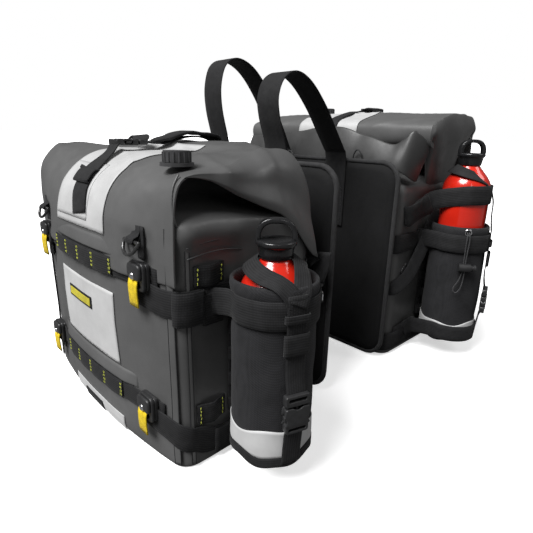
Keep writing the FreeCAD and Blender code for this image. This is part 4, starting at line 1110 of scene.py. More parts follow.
def end_plan(sign, level, v, lift):
    """x and v of the bag's end at a height: round the outer corner first, then across the flat."""
    inset, v0 = station(level, INSET, OUTER_V)
    end = END_X - inset if sign > 0 else REAR_X + inset
    low = v0 + CORNER_R - v
    if low <= 0.0:
        return end + sign * lift, v
    turn = math.asin(min(low / (CORNER_R + lift), 1.0))
    return end - sign * CORNER_R + sign * (CORNER_R + lift) * math.cos(turn), v


def around_end(sign, levels, lift, v_stop):
    """A path from the outer face round one end, as far as v_stop on the end."""
    points = []
    start = ANCHOR_X[0] - 12.0 if sign > 0 else ANCHOR_X[1] + 12.0
    corner = (END_X - CORNER_R - 2.0) if sign > 0 else (REAR_X + CORNER_R + 2.0)
    for f in np.linspace(0.0, 1.0, 4):
        x = start + f * (corner - start)
        level = levels[0] + f * (levels[1] - levels[0])
        points.append((x, face_v(x, level) - lift - 1.6, level))
    places = ((1.5, 0.3), (8.0, 0.55), (16.0, 0.8), (28.0, 1.0))
    for v, f in places:
        level = levels[1] + (levels[2] - levels[1]) * f
        points.append((*end_plan(sign, level, v, lift), level))
    for v, level in zip(np.linspace(48.0, v_stop, 4), (*levels[3:], levels[-1])):
        points.append((*end_plan(sign, level, v, lift), level))
    return points


def side_straps(side):
    """Both straps round each end, the one under the foot and the belt round the holster."""
    made = []
    for (low, high), levels in zip(STRAPS, (STRAP_LEVELS["upper"], STRAP_LEVELS["lower"])):
        z = levels[-1]
        for sign in (1.0, -1.0):
            path = around_end(sign, levels, 2.4, 214.0)
            end = END_X if sign > 0 else REAR_X
            end -= sign * station(z, INSET)[0]
            for a in (30.0, 60.0, 90.0):
                turn = math.radians(a)
                path.append((end - sign * CORNER_R + sign * (CORNER_R + 2.0) * math.cos(turn),
                             WIDTH - CORNER_R + (CORNER_R + 2.0) * math.sin(turn), z))
            path.append((end - sign * 50.0, WIDTH + 2.0, z))
            made.append(ribbon("wrap", side, path, UP, high - low, ripple=0.7))
            if sign > 0:
                made += keepers(side, z, low)
    made.append(face_patch("under", side, (MID_X - 44.0, MID_X + 18.0), (0.0, 19.0), 2.2, "webbing", 0.002))
    made.append(holster_belt(side))
    return join(side + "_side_straps", made)


def keepers(side, z, low):
    """The folded tail and its sewn keeper on the front end's straps."""
    extra = []
    if low > 100.0:
        spans = ((2.0, 37.0, 43.0, 6.6, 228.0), (37.0, 66.0, 41.0, 5.6, 222.0))
    else:
        spans = ((52.0, 104.0, 38.0, 5.6, z),)
    for v0, v1, tall, lift, level in spans:
        path = [(*end_plan(1.0, level, v0 - 0.5, 3.0), level)]
        path += [(*end_plan(1.0, level, v, lift), level) for v in np.linspace(v0 + 1.0, v1 - 1.0, 6)]
        path += [(*end_plan(1.0, level, v1 + 0.5, 3.0), level)]
        extra.append(ribbon("keeper", side, path, UP, tall, thick=2.0, count=30))
    return extra


def around_holster(r, angles, height):
    """Points round the holster's axis, at angles in degrees; height gives z from the angle in radians."""
    points = []
    for angle in angles:
        turn = math.radians(angle)
        points.append((HOLSTER_X + r * math.cos(turn), HOLSTER_V + r * math.sin(turn), height(turn)))
    return points


def holster_belt(side):
    """The upper strap's run from the end face round the outside of the holster."""
    z = STRAP_LEVELS["upper"][-1] + 6.0
    angles = (-118.0, -95.0, -70.0, -45.0, -20.0, 0.0, 20.0, 45.0, 70.0, 95.0, 118.0)
    points = [(END_X + 4.0, 40.0, z - 8.0), (END_X + 8.0, 50.0, z - 6.0)]
    points += around_holster(HOLSTER_R + 2.6, angles, lambda turn: z)
    points += [(END_X + 8.0, 148.0, z), (END_X + 4.0, 156.0, z)]
    return ribbon("belt", side, points, UP, 34.0, ripple=0.6)


def end_loops(side):
    """The stitched webbing loops on both ends, and their thread."""
    made, threads = [], []
    for sign, end in ((1.0, END_X), (-1.0, REAR_X)):
        for z0, z1 in ((252.0, 279.0), (62.0, 92.0)):
            z = (z0 + z1) / 2.0
            x = end - sign * station(z, INSET)[0]
            path = [(x + sign * 1.2, 26.0, z), (x + sign * 2.0, 33.0, z), (x + sign * 7.5, 47.0, z),
                    (x + sign * 2.0, 62.0, z), (x + sign * 1.2, 70.0, z)]
            made.append(ribbon("loop", side, path, UP, z1 - z0))
            for v in (30.0, 65.0):
                threads.append(((x + sign * 3.6, v, z0 + 2.0), (x + sign * 3.6, v, z1 - 2.0), (sign, 0, 0)))
    return (join(side + "_end_loops", made),
            stitches(side + "_end_stitches", side, threads, wide=1.3, proud=0.8))


# ---------------------------------------------------------------- side-release buckles
def relocate(obj, side, origin, across, depth, along):
    """Moves a part modelled in a local frame (width, depth, length) into the bag's frame."""
    co = np.array([tuple(v.co) for v in obj.data.vertices]) * 1000.0
    frame_axes = np.array([across, depth, along], float)
    points = world(side, co @ frame_axes + np.array(origin, float))
    obj.data.vertices.foreach_set("co", points.ravel())
    obj.data.update()
    return fix_normals(obj)


def arc_points(cx, cy, r, start, end):
    """Six points of an arc between two angles in degrees."""
    return [(cx + r * math.cos(math.radians(a)), cy + r * math.sin(math.radians(a)))
            for a in np.linspace(start, end, 6)]


def buckle(name, side, size, origin, across, depth_way, along):
    """A side-release buckle: the socket with its side windows, and the two-armed prong."""
    width, depth, length = size
    half = width / 2.0
    # the socket: a deep strap end, and two thin plates with hollowed sides and mouth
    back = rounded((-half + 1.0, half - 1.0), (0.0, 13.0), 3.5)
    slot = rounded((-half + 4.5, half - 4.5), (3.2, 7.0), 1.2, 3)
    parts = [slab(name, None, back, 0.6, depth - 0.6, 1, "buckle_plastic", 1.6, holes=[slot])]
    outline = [(-half, length - 2.0), *arc_points(-half - 6.0, length - 16.0, 8.0, 50, -50)]
    outline += [(-half + 1.0, 10.0), (half - 1.0, 10.0)]
    outline += arc_points(half + 6.0, length - 16.0, 8.0, 230, 130)
    outline += [(half, length - 2.0), (half - 2.0, length), (7.0, length)]
    outline += [*arc_points(0.0, length + 3.5, 6.5, -30, -150)[1:-1], (-7.0, length), (-half + 2.0, length)]
    for low, high in ((0.0, 2.4), (depth - 2.4, depth)):
        parts.append(slab(name, None, outline, low, high, 1, "buckle_plastic", 0.9))
    for sign in (-1.0, 1.0):
        middle = sign * (half - 1.6)
        rail = rounded((middle - 1.4, middle + 1.4), (length - 9.0, length - 0.6), 1.0, 3)
        parts.append(slab(name, None, rail, 1.0, depth - 1.0, 1, "buckle_plastic", 0.7))
    socket = join(side + name + "_socket", parts)
    # the prong: strap bar with shoulders, two springy arms with thumb pads, and a guide
    bar = rounded((-half, half), (length + 1.5, length + 15.5), 3.0)
    eye = rounded((-half + 4.5, half - 4.5), (length + 7.5, length + 11.5), 1.2, 3)
    parts = [slab(name, None, bar, 0.9, depth - 0.9, 1, "buckle_plastic", 1.5, holes=[eye])]
    for sign in (-1.0, 1.0):
        edge = [(sign * a, c) for a, c in ((half - 6.6, length + 3.0), (half - 6.0, length - 8.0),
                                           (half - 3.4, 14.5), (half - 1.6, 14.0), (half - 0.2, 18.0),
                                           (half + 0.2, 22.0), (half - 2.4, 24.0), (half - 3.6, length - 4.0),
                                           (half - 3.6, length + 3.0))]
        parts.append(slab(name, None, edge, 2.8, depth - 2.8, 1, "buckle_plastic", 0.8))
    guide = rounded((-1.6, 1.6), (16.0, length + 4.0), 1.0, 3)
    parts.append(slab(name, None, guide, 3.2, depth - 3.2, 1, "buckle_plastic", 0.6))
    prong = join(side + name + "_prong", parts)
    for obj in (socket, prong):
        relocate(obj, side, origin, across, depth_way, along)
        obj.data.set_sharp_from_angle(angle=math.radians(50))
    return socket, prong


TOP_BUCKLE_V = {"left": 46.0, "right": 28.0}
TOP_BUCKLE_Z = {"left": 407.3, "right": 480.3}
TOP_BUCKLE = (32.0, 9.0, 34.0)
HOLSTER_BUCKLE = (32.0, 11.0, 34.0)
HOLSTER_FACE = HOLSTER_X + 57.4
BUCKLE_Z = 96.0
BUCKLE_TURN = math.radians(-18.0)


def turned(points, about=(HOLSTER_X, HOLSTER_V)):
    """Points, or directions about (0, 0), turned round the holster's axis to where its buckle is."""
    p = np.array(points, float)
    out = p.copy()
    a, b = p[..., 0] - about[0], p[..., 1] - about[1]
    out[..., 0] = about[0] + a * math.cos(BUCKLE_TURN) - b * math.sin(BUCKLE_TURN)
    out[..., 1] = about[1] + a * math.sin(BUCKLE_TURN) + b * math.cos(BUCKLE_TURN)
    return out


def turned_way(way):
    return tuple(turned(way, (0.0, 0.0)))


def top_buckle(side):
    """The buckle that lies on the roll, its prong towards the pair's middle."""
    x, v, z = TOP_STRAP_X[side], TOP_BUCKLE_V[side], TOP_BUCKLE_Z[side]
    return buckle("_top_buckle_look", side, TOP_BUCKLE, (x, v, z + 9.0), ALONG, (0, 0, -1), INWARD)


def holster_buckle(side):
    """The buckle that stands on the holster's front, turned with its strap."""
    origin = tuple(turned((HOLSTER_FACE, HOLSTER_V, BUCKLE_Z)))
    return buckle("_holster_buckle_look", side, HOLSTER_BUCKLE, origin, turned_way(INWARD),
                  turned_way(ALONG), UP)


# Each top strap: its sewn end on the face, up to the socket; then from the prong over the roll.
TOP_LOWER = {
    "left": [(-20.6, 317), (-17.8, 334), (-12.0, 351.5), (3.0, 372), (22.0, 386.5), (38.0, 398), (48.0, 409),
             (54, 412)],
    "right": [(8.0, 440), (7.0, 462), (14.0, 476), (30.0, 483.5), (36.0, 484.5)],
}
TOP_UPPER = {
    "left": [(86, 412), (96, 412.5), (110, 411), (126, 410), (146, 415.0), (172, 420.5), (200, 421.0),
             (224, 417), (238, 405), (240, 385), (239, 372)],
    "right": [(68, 484.5), (78, 484.0), (96, 480.5), (124, 478.5), (158, 470.5), (187, 461.5), (199, 449),
              (200.5, 430), (195, 412)],
}
# How far the sewn part leans along the bag, and its width with its taper towards the socket.
STRAP_LEAN = {"left": 22.0, "right": 0.0}
STRAP_FOOT = {"left": (42.0, ([0.0, 0.55, 0.8, 1.0], [1.0, 0.98, 0.6, 0.6])), "right": (STRAP_WIDTH, None)}


def top_strap(side):
    """The strap over the roll: the part sewn to the face, and the part that the buckle's prong pulls."""
    x = TOP_STRAP_X[side]
    lean = STRAP_LEAN[side]
    path = TOP_LOWER[side]
    route = [(x + lean * (1.0 - k / (len(path) - 1.0)), v, z) for k, (v, z) in enumerate(path)]
    width, taper = STRAP_FOOT[side]
    fixed = [ribbon("strap", side, route, ALONG, width, ripple=0.5, taper=taper)]
    over_roll = [(x, v, z) for v, z in TOP_UPPER[side]]
    made = [ribbon("strap", side, over_roll, ALONG, STRAP_WIDTH, ripple=0.5)]
    if side == "left":
        keep = [(x + 13, -9.0, 359.0), (x + 13, -11.0, 361.0), (x + 12, -3.0, 371.0), (x + 12, 4.0, 376.0),
                (x + 11, 6.0, 373.0)]
        fixed.append(ribbon("keeper", side, keep, ALONG, 47.0, thick=2.4, count=16))
        pad = [(x + 1, 112, 413.0), (x + 3, 136, 419.0), (x + 5, 160, 426.5), (x + 6, 190, 426.5),
               (x + 5, 222, 423), (x + 4, 234, 416)]
        made.append(ribbon("pad", side, pad, ALONG, 34.0, thick=5.0, ripple=1.0,
                           taper=([0.0, 0.15, 0.85, 1.0], [0.45, 1.0, 1.0, 0.7])))
        tail = [(x - 4, 92, 414.5), (x - 20, 104, 419.0), (x - 42, 112, 421.0), (x - 62, 116, 417.0)]
        made.append(ribbon("tail", side, tail, (0.35, 0.94, 0.1), STRAP_WIDTH, ripple=0.8))
    else:
        tail = [(x + 3, 84, 483.0), (x + 22, 92, 487.0), (x + 44, 96, 485.0)]
        made.append(ribbon("tail", side, tail, (-0.3, 0.95, 0.0), STRAP_WIDTH, ripple=0.6))
    return join(side + "_top_webbing", fixed), join(side + "_top_pull_webbing", made)


# ---------------------------------------------------------------- bottle, cap and holster
def bottle(side):
    """The lacquered flask: one turned profile from the foot to the inside of the neck."""
    lift = BOTTLE_LIFT[side]
    profile = [(0.5, 3.0), (20.0, 3.0), (34.0, 2.0), (38.0, 0.0), (41.5, 1.6), (43.0, 6.0), (43.0, 60.0),
               (43.0, 130.0), (43.0, 190.0), (43.0, 203.0), (41.8, 209.5), (38.6, 217.0), (33.6, 224.5),
               (27.4, 232.0), (22.6, 237.5), (20.0, 240.5), (19.4, 242.0), (17.9, 243.0), (17.9, 258.0),
               (16.4, 259.5), (15.4, 258.5), (15.4, 244.0)]
    outline = [(r, lift + z) for r, z in profile]
    obj = lathe(side + "_bottle_lacquered", side, (HOLSTER_X, HOLSTER_V), outline, "bottle_red", 64)
    obj.data.set_sharp_from_angle(angle=math.radians(60))
    return obj


def bottle_cap(side):
    """A tapered screw cap under a wide flange, with a broad oval carrying loop."""
    base = BOTTLE_LIFT[side] + 244.4
    profile = [(18.4, 0.8), (19.0, 0.0), (19.6, 1.2), (20.8, 9.0), (21.6, 13.6), (22.8, 15.4), (24.2, 17.0),
               (24.4, 20.0), (23.6, 21.6), (18.0, 22.4), (8.0, 22.2), (0.5, 22.2)]
    body = lathe("cap", side, (HOLSTER_X, HOLSTER_V), [(r, base + z) for r, z in profile], "cap_black", 96)
    turn = math.radians(46.0 if side == "left" else -46.0)
    way = np.array((math.cos(turn), math.sin(turn), 0.0))
    centre = np.array((HOLSTER_X, HOLSTER_V, base + 21.0))
    path = []
    for a in np.linspace(-14, 194, 40):
        r = math.radians(a)
        side_way = math.copysign(abs(math.cos(r)) ** 0.75, math.cos(r))
        rise = math.copysign(abs(math.sin(r)) ** 0.85, math.sin(r))
        path.append(centre + way * 21.2 * side_way + np.array(UP) * (3.0 + 20.0 * rise))
    depth_way = np.array((-way[1], way[0], 0.0))
    loop = ribbon("loop", side, path, depth_way, 13.0, "cap_black", 6.2, count=56)
    lugs = []
    for sign in (-1.0, 1.0):
        at = centre + way * sign * 21.2
        lug = [at + np.array((0, 0, -4.0)), at + np.array((0, 0, 0.0)), at + np.array((0, 0, 4.0))]
        lugs.append(ribbon("lug", side, lug, depth_way, 13.0, "cap_black", 5.6, count=6))
    for part in (loop, *lugs):
        add_modifier(part, "BEVEL", width=0.0008, segments=2, limit_method="ANGLE", angle_limit=0.9)
    return join(side + "_cap_with_loop", [body, loop] + lugs)


def holster_shape(side):
    """The cup's radius with its sag and the two places where straps draw it in."""
    def shape(r, z, turn):
        x, v = math.cos(turn), math.sin(turn)
        seed = 2.0 if side == "left" else 5.0
        near = smoothstep(HOLSTER_Z[0] - 2, 120, z)
        sag = 1.8 * wrinkle(60 * x, 60 * v, z, 42.0, seed) * near
        cinch = -1.6 * math.exp(-((z - 234.0) / 16.0) ** 2) - 1.2 * math.exp(-((z - 80.0) / 14.0) ** 2)
        return r + sag + cinch * near
    return shape


def holster(side):
    """The packcloth cup: walls with soft creases, a gathered collar, a floor, and its joints."""
    rows = [(2.0, 40.4), (30.0, 40.4), (46.0, 40.4), (50.4, 41.6), (51.6, 45.0), (52.0, 52.0)]
    rows += [(52.0, z) for z in np.linspace(60.0, 244.0, 34)]
    rows += [(52.3, 250.0), (53.4, 255.0), (53.9, 261.0), (53.2, 267.0), (50.8, 269.4), (48.2, 266.5),
             (47.4, 258.0), (49.2, 248.0), (49.4, 200.0), (49.4, 120.0), (49.4, 48.0), (30.0, 44.2),
             (2.0, 44.2)]
    made = [lathe("cup", side, (HOLSTER_X, HOLSTER_V), rows, "holster_cordura", 96, holster_shape(side))]
    trim = around_holster(53.2, np.linspace(0, 360, 97),
                          lambda turn: 47.0 + 3.0 * math.sin(3 * turn + 0.7) + 1.6 * math.sin(7 * turn))
    made.append(ribbon("trim", side, trim, UP, 14.0, "webbing", 1.8, count=120))
    for v in (-17.0, 0.0, 17.0):
        path = [(END_X + 2.6, HOLSTER_V + v, z) for z in np.linspace(64, 206, 8)]
        made.append(ribbon("ladder", side, path, INWARD, 14.0, "webbing", 3.0))
    for z in (74.0, 112.0, 150.0, 188.0):
        path = [(END_X + 3.0, HOLSTER_V - 24.0, z), (END_X + 9.5, HOLSTER_V - 8.0, z),
                (END_X + 9.5, HOLSTER_V + 8.0, z), (END_X + 3.0, HOLSTER_V + 24.0, z)]
        made.append(ribbon("rung", side, path, UP, 20.0, "webbing", 2.0))
    return join(side + "_holster_cup", made)


def holster_band(side):
    """The reflective band, its lower edge wavy where the base trim is gathered."""
    columns, rows = 100, 10
    shape = holster_shape(side)
    verts = []
    for i in range(rows):
        for j in range(columns):
            turn = 2 * math.pi * j / columns
            low = 53.0 + 3.0 * math.sin(3 * turn + 0.7) + 1.5 * math.sin(7 * turn)
            high = 86.0 + 3.0 * math.sin(2 * turn + 2.4) + 2.0 * math.sin(5 * turn)
            if side == "right":
                high -= 10.0
            z = low + (high - low) * i / (rows - 1)
            r = shape(HOLSTER_R + 1.0, z, turn)
            verts.append((HOLSTER_X + r * math.cos(turn), HOLSTER_V + r * math.sin(turn), z))
    faces = grid_faces(rows, columns, True)
    return sheet(side + "_holster_band", side, verts, faces, "reflective_fabric", 0.0008)


def shoulder_normal(x, v):
    """Outward normal of the bottle's shoulder at a place round it."""
    radial = unit(np.array((x - HOLSTER_X, v - HOLSTER_V, 0.0)))
    return unit(radial * 0.62 + np.array((0, 0, 0.78)))


def draped(name, side, path, width, normals, **values):
    """A band that lies on a surface, given the surface's normal at each point."""
    p = np.array(path, float)
    tangent = unit(np.gradient(p, axis=0))
    across = np.cross(tangent, np.array(normals, float))
    return ribbon(name, side, p, across, width, **values)


def bottle_straps(side):
    """The front strap through its buckle, and the loop that crosses over the bottle's shoulder."""
    made, pulled = [], []
    front = HOLSTER_FACE - 1.3
    width_way = turned_way(INWARD)
    lower = [(HOLSTER_X + 46.0, HOLSTER_V, 41.5), (HOLSTER_X + 53.0, HOLSTER_V, 43.0),
             (front - 1.0, HOLSTER_V, 52.0), (front + 1.0, HOLSTER_V, 75.0), (front + 3.0, HOLSTER_V, 92.0),
             (front + 6.5, HOLSTER_V, 100.0)]
    made.append(ribbon("lower", side, turned(lower), width_way, STRAP_WIDTH, ripple=0.4))
    upper = [(front + 6.5, HOLSTER_V, 141.0), (front + 4.5, HOLSTER_V, 150.0),
             (front + 1.0, HOLSTER_V, 168.0), (front, HOLSTER_V, 200.0), (front, HOLSTER_V, 240.0),
             (front - 0.5, HOLSTER_V, 262.0)]
    pulled.append(ribbon("upper", side, turned(upper), width_way, STRAP_WIDTH, ripple=0.5))
    # the keeper and the tail's fold on the upper strap
    for z, tall in ((205.0, 26.0), (236.0, 10.0)):
        path = [(front + 0.5, HOLSTER_V - 15.5, z), (front + 3.6, HOLSTER_V - 12.0, z),
                (front + 3.8, HOLSTER_V + 12.0, z), (front + 0.5, HOLSTER_V + 15.5, z)]
        pulled.append(ribbon("keeper", side, turned(path), UP, tall, thick=1.8, count=22))
    if side == "left":
        loop = [(front - 0.5, 99, 250), (front - 3, 92, 264), (270, 82, 274), (254, 71, 279), (234, 67, 283),
                (214, 72, 286), (201, 86, 288), (197, 100, 289), (205, 121, 288.5), (228, 129, 288),
                (245, 122, 286), (261, 116, 278), (276, 108, 266), (front + 1.5, 100, 250)]
        normals = [(1, 0, 0.1), (0.9, -0.1, 0.4)] + [tuple(shoulder_normal(x, v)) for x, v, z in loop[2:-1]]
        normals += [(1, 0, 0.1)]
    else:
        loop = [(front - 1, 100, 262), (front - 5, 100, 292), (275, 100, 316), (268, 97, 338), (258, 86, 352),
                (244, 74, 362), (226, 69, 368), (208, 76, 372), (198, 90, 374), (198, 110, 374),
                (208, 124, 372), (226, 131, 367), (244, 126, 361), (258, 114, 352), (267, 103, 339)]
        normals = [(1, 0, 0.1)] * 3 + [(0.9, 0, 0.3)]
        normals += [tuple(shoulder_normal(x, v)) for x, v, z in loop[4:-1]] + [(0.9, 0, 0.4)]
    made.append(draped("loop", side, turned(loop), 22.0, turned(normals, (0.0, 0.0)), ripple=0.4, count=90))
    if side == "right":
        made += body_strap(side)
    return join(side + "_bottle_webbing", made), join(side + "_holster_pull_webbing", pulled)


SLIDER_ACROSS = (0.50, -0.58, -0.55)


def body_strap(side):
    """The wide strap from the bag's end corners round the raised bottle, with its keeper and slider."""
    path = [(END_X + 1.0, 214.0, 284.0), (END_X + 9.0, 202.0, 288.0), (176.0, 176.0, 300.0),
            (190.0, 150.0, 315.0)]
    path += around_holster(BOTTLE_R + 2.2, (66, 40, 14, -14, -40, -66),
                           lambda turn: 326.0 + 3.0 * math.cos(turn))
    path += [(190.0, 50.0, 316.0), (174.0, 34.0, 302.0), (END_X + 3.0, 22.0, 288.0)]
    made = [ribbon("belt", side, path, UP, 35.0, ripple=0.6, count=100)]
    keep = [(END_X + 3.0, 212.0, 284.0), (END_X + 10.0, 206.0, 287.0), (END_X + 13.0, 192.0, 292.0),
            (178.0, 172.0, 299.0), (186.0, 158.0, 308.0)]
    made.append(ribbon("keeper", side, keep, (0.1, 0.1, 1), 40.0, thick=2.2, count=24))
    down = [(END_X + 16.0, 108.0, 290.0), (END_X + 15.0, 126.0, 256.0), (END_X + 14.0, 156.0, 210.0),
            (END_X + 12.0, 184.0, 172.0), (END_X + 9.0, 206.0, 156.0), (END_X + 3.0, 230.0, 145.0),
            (END_X - 14.0, 242.6, 139.0)]
    made.append(ribbon("down", side, down, SLIDER_ACROSS, 26.0, ripple=0.6, count=50))
    # the lower strap takes in the foot of the holster
    foot = [(END_X + 3.0, 206.0, 40.0), (END_X + 6.0, 182.0, 44.0), (END_X + 9.0, 158.0, 50.0)]
    foot += around_holster(HOLSTER_R + 2.8, range(100, -99, -22), lambda turn: 56.0 - 2.0 * math.cos(turn))
    foot += [(END_X + 9.0, 42.0, 50.0), (END_X + 4.0, 28.0, 44.0)]
    made.append(ribbon("foot", side, foot, UP, 32.0, ripple=0.6, count=110))
    keep = [(END_X + 8.0, 176.0, 45.0), (END_X + 10.5, 168.0, 48.0), (END_X + 13.5, 158.0, 51.0),
            (END_X + 22.0, 153.0, 54.0)]
    made.append(ribbon("keeper", side, keep, UP, 36.0, thick=2.2, count=16))
    return made


def strap_slider(side):
    """The three-bar slider on the strap that runs down from the raised bottle."""
    outer = rounded((-17.0, 17.0), (-12.0, 12.0), 2.5, 4)
    holes = [rounded((-13.0, 13.0), (2.0, 8.5), 1.0, 2), rounded((-13.0, 13.0), (-8.5, -2.0), 1.0, 2)]
    obj = slab("slider", None, outer, 0.0, 3.6, 1, "buckle_plastic", 0.9, holes=holes)
    obj.name = side + "_strap_slider"
    along = unit((-0.05, 0.66, -0.74))
    across = unit(np.array(SLIDER_ACROSS) - along * np.dot(SLIDER_ACROSS, along))
    return relocate(obj, side, (END_X + 10.0, 184.0, 172.0), across, np.cross(along, across), along)


# ---------------------------------------------------------------- back panels
def rounded_ring(x, z, radius, count):
    """An evenly spaced closed outline of a rounded rectangle."""
    outline = np.array(rounded(x, z, radius, 14))
    closed = np.vstack([outline, outline[:1]])
    return resample(closed, count + 1)[:-1]


def back_panel(side):
    """A padded sheet, crowned on both faces, quilted by a seam inside its bound edge."""
    count, rings = 160, 16
    v0 = PANEL_V[side]
    middle = v0 + PANEL_THICK / 2.0
    outline = rounded_ring(PANEL_X, PANEL_Z, 36.0, count)
    centre = np.array(((PANEL_X[0] + PANEL_X[1]) / 2.0, (PANEL_Z[0] + PANEL_Z[1]) / 2.0))
    verts, faces = [], []
    for face in (-1.0, 1.0):
        for k in range(rings + 1):
            f = k / rings
            inward = 1.0 - (1.0 - f) ** 1.6
            for j in range(count):
                a, b = outline[j] * (1.0 - inward) + centre * inward
                margin = np.linalg.norm(outline[j] - np.array((a, b)))
                crown = 1.6 + 2.2 * smoothstep(0.0, 7.0, margin)
                crown -= 1.7 * math.exp(-((margin - 15.0) / 2.6) ** 2)
                crown += 0.5 * wrinkle(a, b, face * 30.0, 48.0, 2.7 if side == "left" else 7.7)
                verts.append((a, middle + face * min(crown, 4.0), b))
        start = 0 if face < 0 else (rings + 1) * count
        for k in range(rings):
            for j in range(count):
                q = (j + 1) % count
                quad = (start + k * count + j, start + k * count + q, start + (k + 1) * count + q,
                        start + (k + 1) * count + j)
                faces.append(quad if face < 0 else quad[::-1])
    top = (rings + 1) * count
    for j in range(count):
        q = (j + 1) % count
        faces.append((j, top + j, top + q, q))
    obj = make_object(side + "_padded_panel", side, verts, faces, "panel_fabric")
    edge = [(x, middle, z) for x, z in rounded_ring((PANEL_X[0] + 1.6, PANEL_X[1] - 1.6),
                                                    (PANEL_Z[0] + 1.6, PANEL_Z[1] - 1.6), 35.0, 150)]
    binding = tube(side + "_panel_binding", side, edge, 4.4, "edge_binding", 10, True)
    return obj, binding


def hangers(side):
    """Webbing from the bag's inner face to the panel, and the yoke straps' sewn roots."""
    made, threads = [], []
    panel = PANEL_V[side]
    face = panel + PANEL_THICK
    for x in YOKE_X.values():
        path = [(x, WIDTH + 1.5, 296.0), (x, WIDTH + 2.5, 318.0), (x, (WIDTH + panel) / 2.0, 323.0),
                (x, panel - 2.0, 318.0), (x, panel - 1.4, 300.0)]
        if side == "right":
            path = [(x, WIDTH + 1.4, 300.0), (x, WIDTH + 2.6, 322.0), (x, panel - 1.6, 324.0)]
        made.append(ribbon("hanger", side, path, ALONG, 42.0))
        for dx in (-20.0, 20.0):
            threads.append(((x + dx, face + 3.4, 262.0), (x + dx, face + 3.4, 330.0), INWARD))
        for z in (262.0, 296.0, 330.0):
            threads.append(((x - 20.0, face + 3.4, z), (x + 20.0, face + 3.4, z), INWARD))
    obj = join(side + "_panel_hangers", made)
    thread = stitches(side + "_panel_stitches", side, threads, wide=1.0, proud=0.4, mat="cord_black")
    return obj, thread


# ---------------------------------------------------------------- yoke over the seat
YOKE_PATH = {
    "front": [(-64.5, 392.7), (-70.0, 418.0), (-83.0, 454.0), (-87.0, 486.0), (-74.0, 514.0), (-45.0, 526.0),
              (-8.0, 513.0), (34.0, 476.0), (72.0, 430.0), (102.5, 392.7)],
    "rear": [(-64.5, 392.7), (-73.0, 424.0), (-85.0, 470.0), (-87.0, 510.0), (-75.0, 545.0), (-46.0, 558.0),
             (-6.0, 544.0), (34.0, 504.0), (72.0, 446.0), (102.5, 392.7)],
}
PEAK = 5
ROOT_Y = {"left": -64.2, "right": 102.4}


def yoke_half(which, side):
    """Half of a yoke strap: from its root on the panel to the top of the arch."""
    path = YOKE_PATH[which]
    x = YOKE_X[which]
    y = ROOT_Y[side]
    roots = [(x, y, 254.0), (x, y, 300.0), (x, y, 345.0), (x, y, 375.0)]
    curve = spline([(x, a, b) for a, b in path], 61)
    split = int(np.argmin(np.abs(curve[:, 1] - path[PEAK][0]) + 0.2 * np.abs(curve[:, 2] - path[PEAK][1])))
    if side == "left":
        points = np.vstack([roots, curve[1:split + 1]])
    else:
        points = np.vstack([roots, curve[split:-1][::-1]])
    return ribbon(which + "_yoke_" + side, None, points, ALONG, YOKE_WIDTH, thick=2.4, count=130)


def top_loop(which, side):
    """A thin webbing loop that stands from the panel's top edge beside each yoke strap."""
    x = YOKE_X[which] + (38.0 if which == "front" else -38.0)
    v = PANEL_V[side] - 1.5
    path = [(x - 6, v, 352.0), (x - 6, v, 380.0), (x - 4, v, 396.0), (x + 4, v, 404.0), (x + 12, v, 396.0),
            (x + 14, v, 380.0), (x + 14, v, 352.0)]
    return ribbon("%s_%s_top_loop" % (side, which), side, path, INWARD, 3.0, "edge_binding", 2.0)


# ---------------------------------------------------------------- snap hook's tab
def hook_tab():
    """Doubled webbing that carries the hook's swivel."""
    x, v, z = HOOK
    path = [(x - 8, WIDTH + 4.0, z + 44.0), (x - 3, WIDTH + 10.0, z + 50.0), (x, v - 2.0, z + 48.0),
            (x, v - 2.4, z + 30.0), (x, v - 4.4, z + 12.0), (x, v - 4.8, z + 7.0), (x, v - 3.4, z + 5.2)]
    back = [(x, v + 3.4, z + 5.2), (x, v + 4.8, z + 7.0), (x, v + 4.4, z + 12.0), (x, v + 1.2, z + 24.0),
            (x, v + 0.6, z + 46.0)]
    plan = rounded((x - 7.5, x + 7.5), (v - 4.6, v + 4.6), 2.4, 4)
    block = slab("block", "left", plan, z + 5.2, z + 11.8, 2, "buckle_plastic", 1.0)
    fold = [(x + 4, v - 6.0, z + 62.0), (x + 7, v - 6.0, z + 40.0), (x + 5, v - 5.4, z + 14.0)]
    made = [ribbon("fold", "left", fold, (1, 0, 0.15), 42.0, thick=2.6,
                   taper=([0.0, 0.4, 1.0], [1.0, 0.8, 0.4])),
            ribbon("tab", "left", path, (1, 0.1, 0), 16.0, thick=1.6),
            ribbon("tab", "left", back, ALONG, 16.0, thick=1.6), block]
    return join("hook_web_tab", made)


# ---------------------------------------------------------------- drawcord and its lock
CORD_ANGLE = 52.0
GROMMET_Z = 261.0
COLLAR_OUT = 54.0
CORD_OUT = 61.0
CORD_R = 1.1
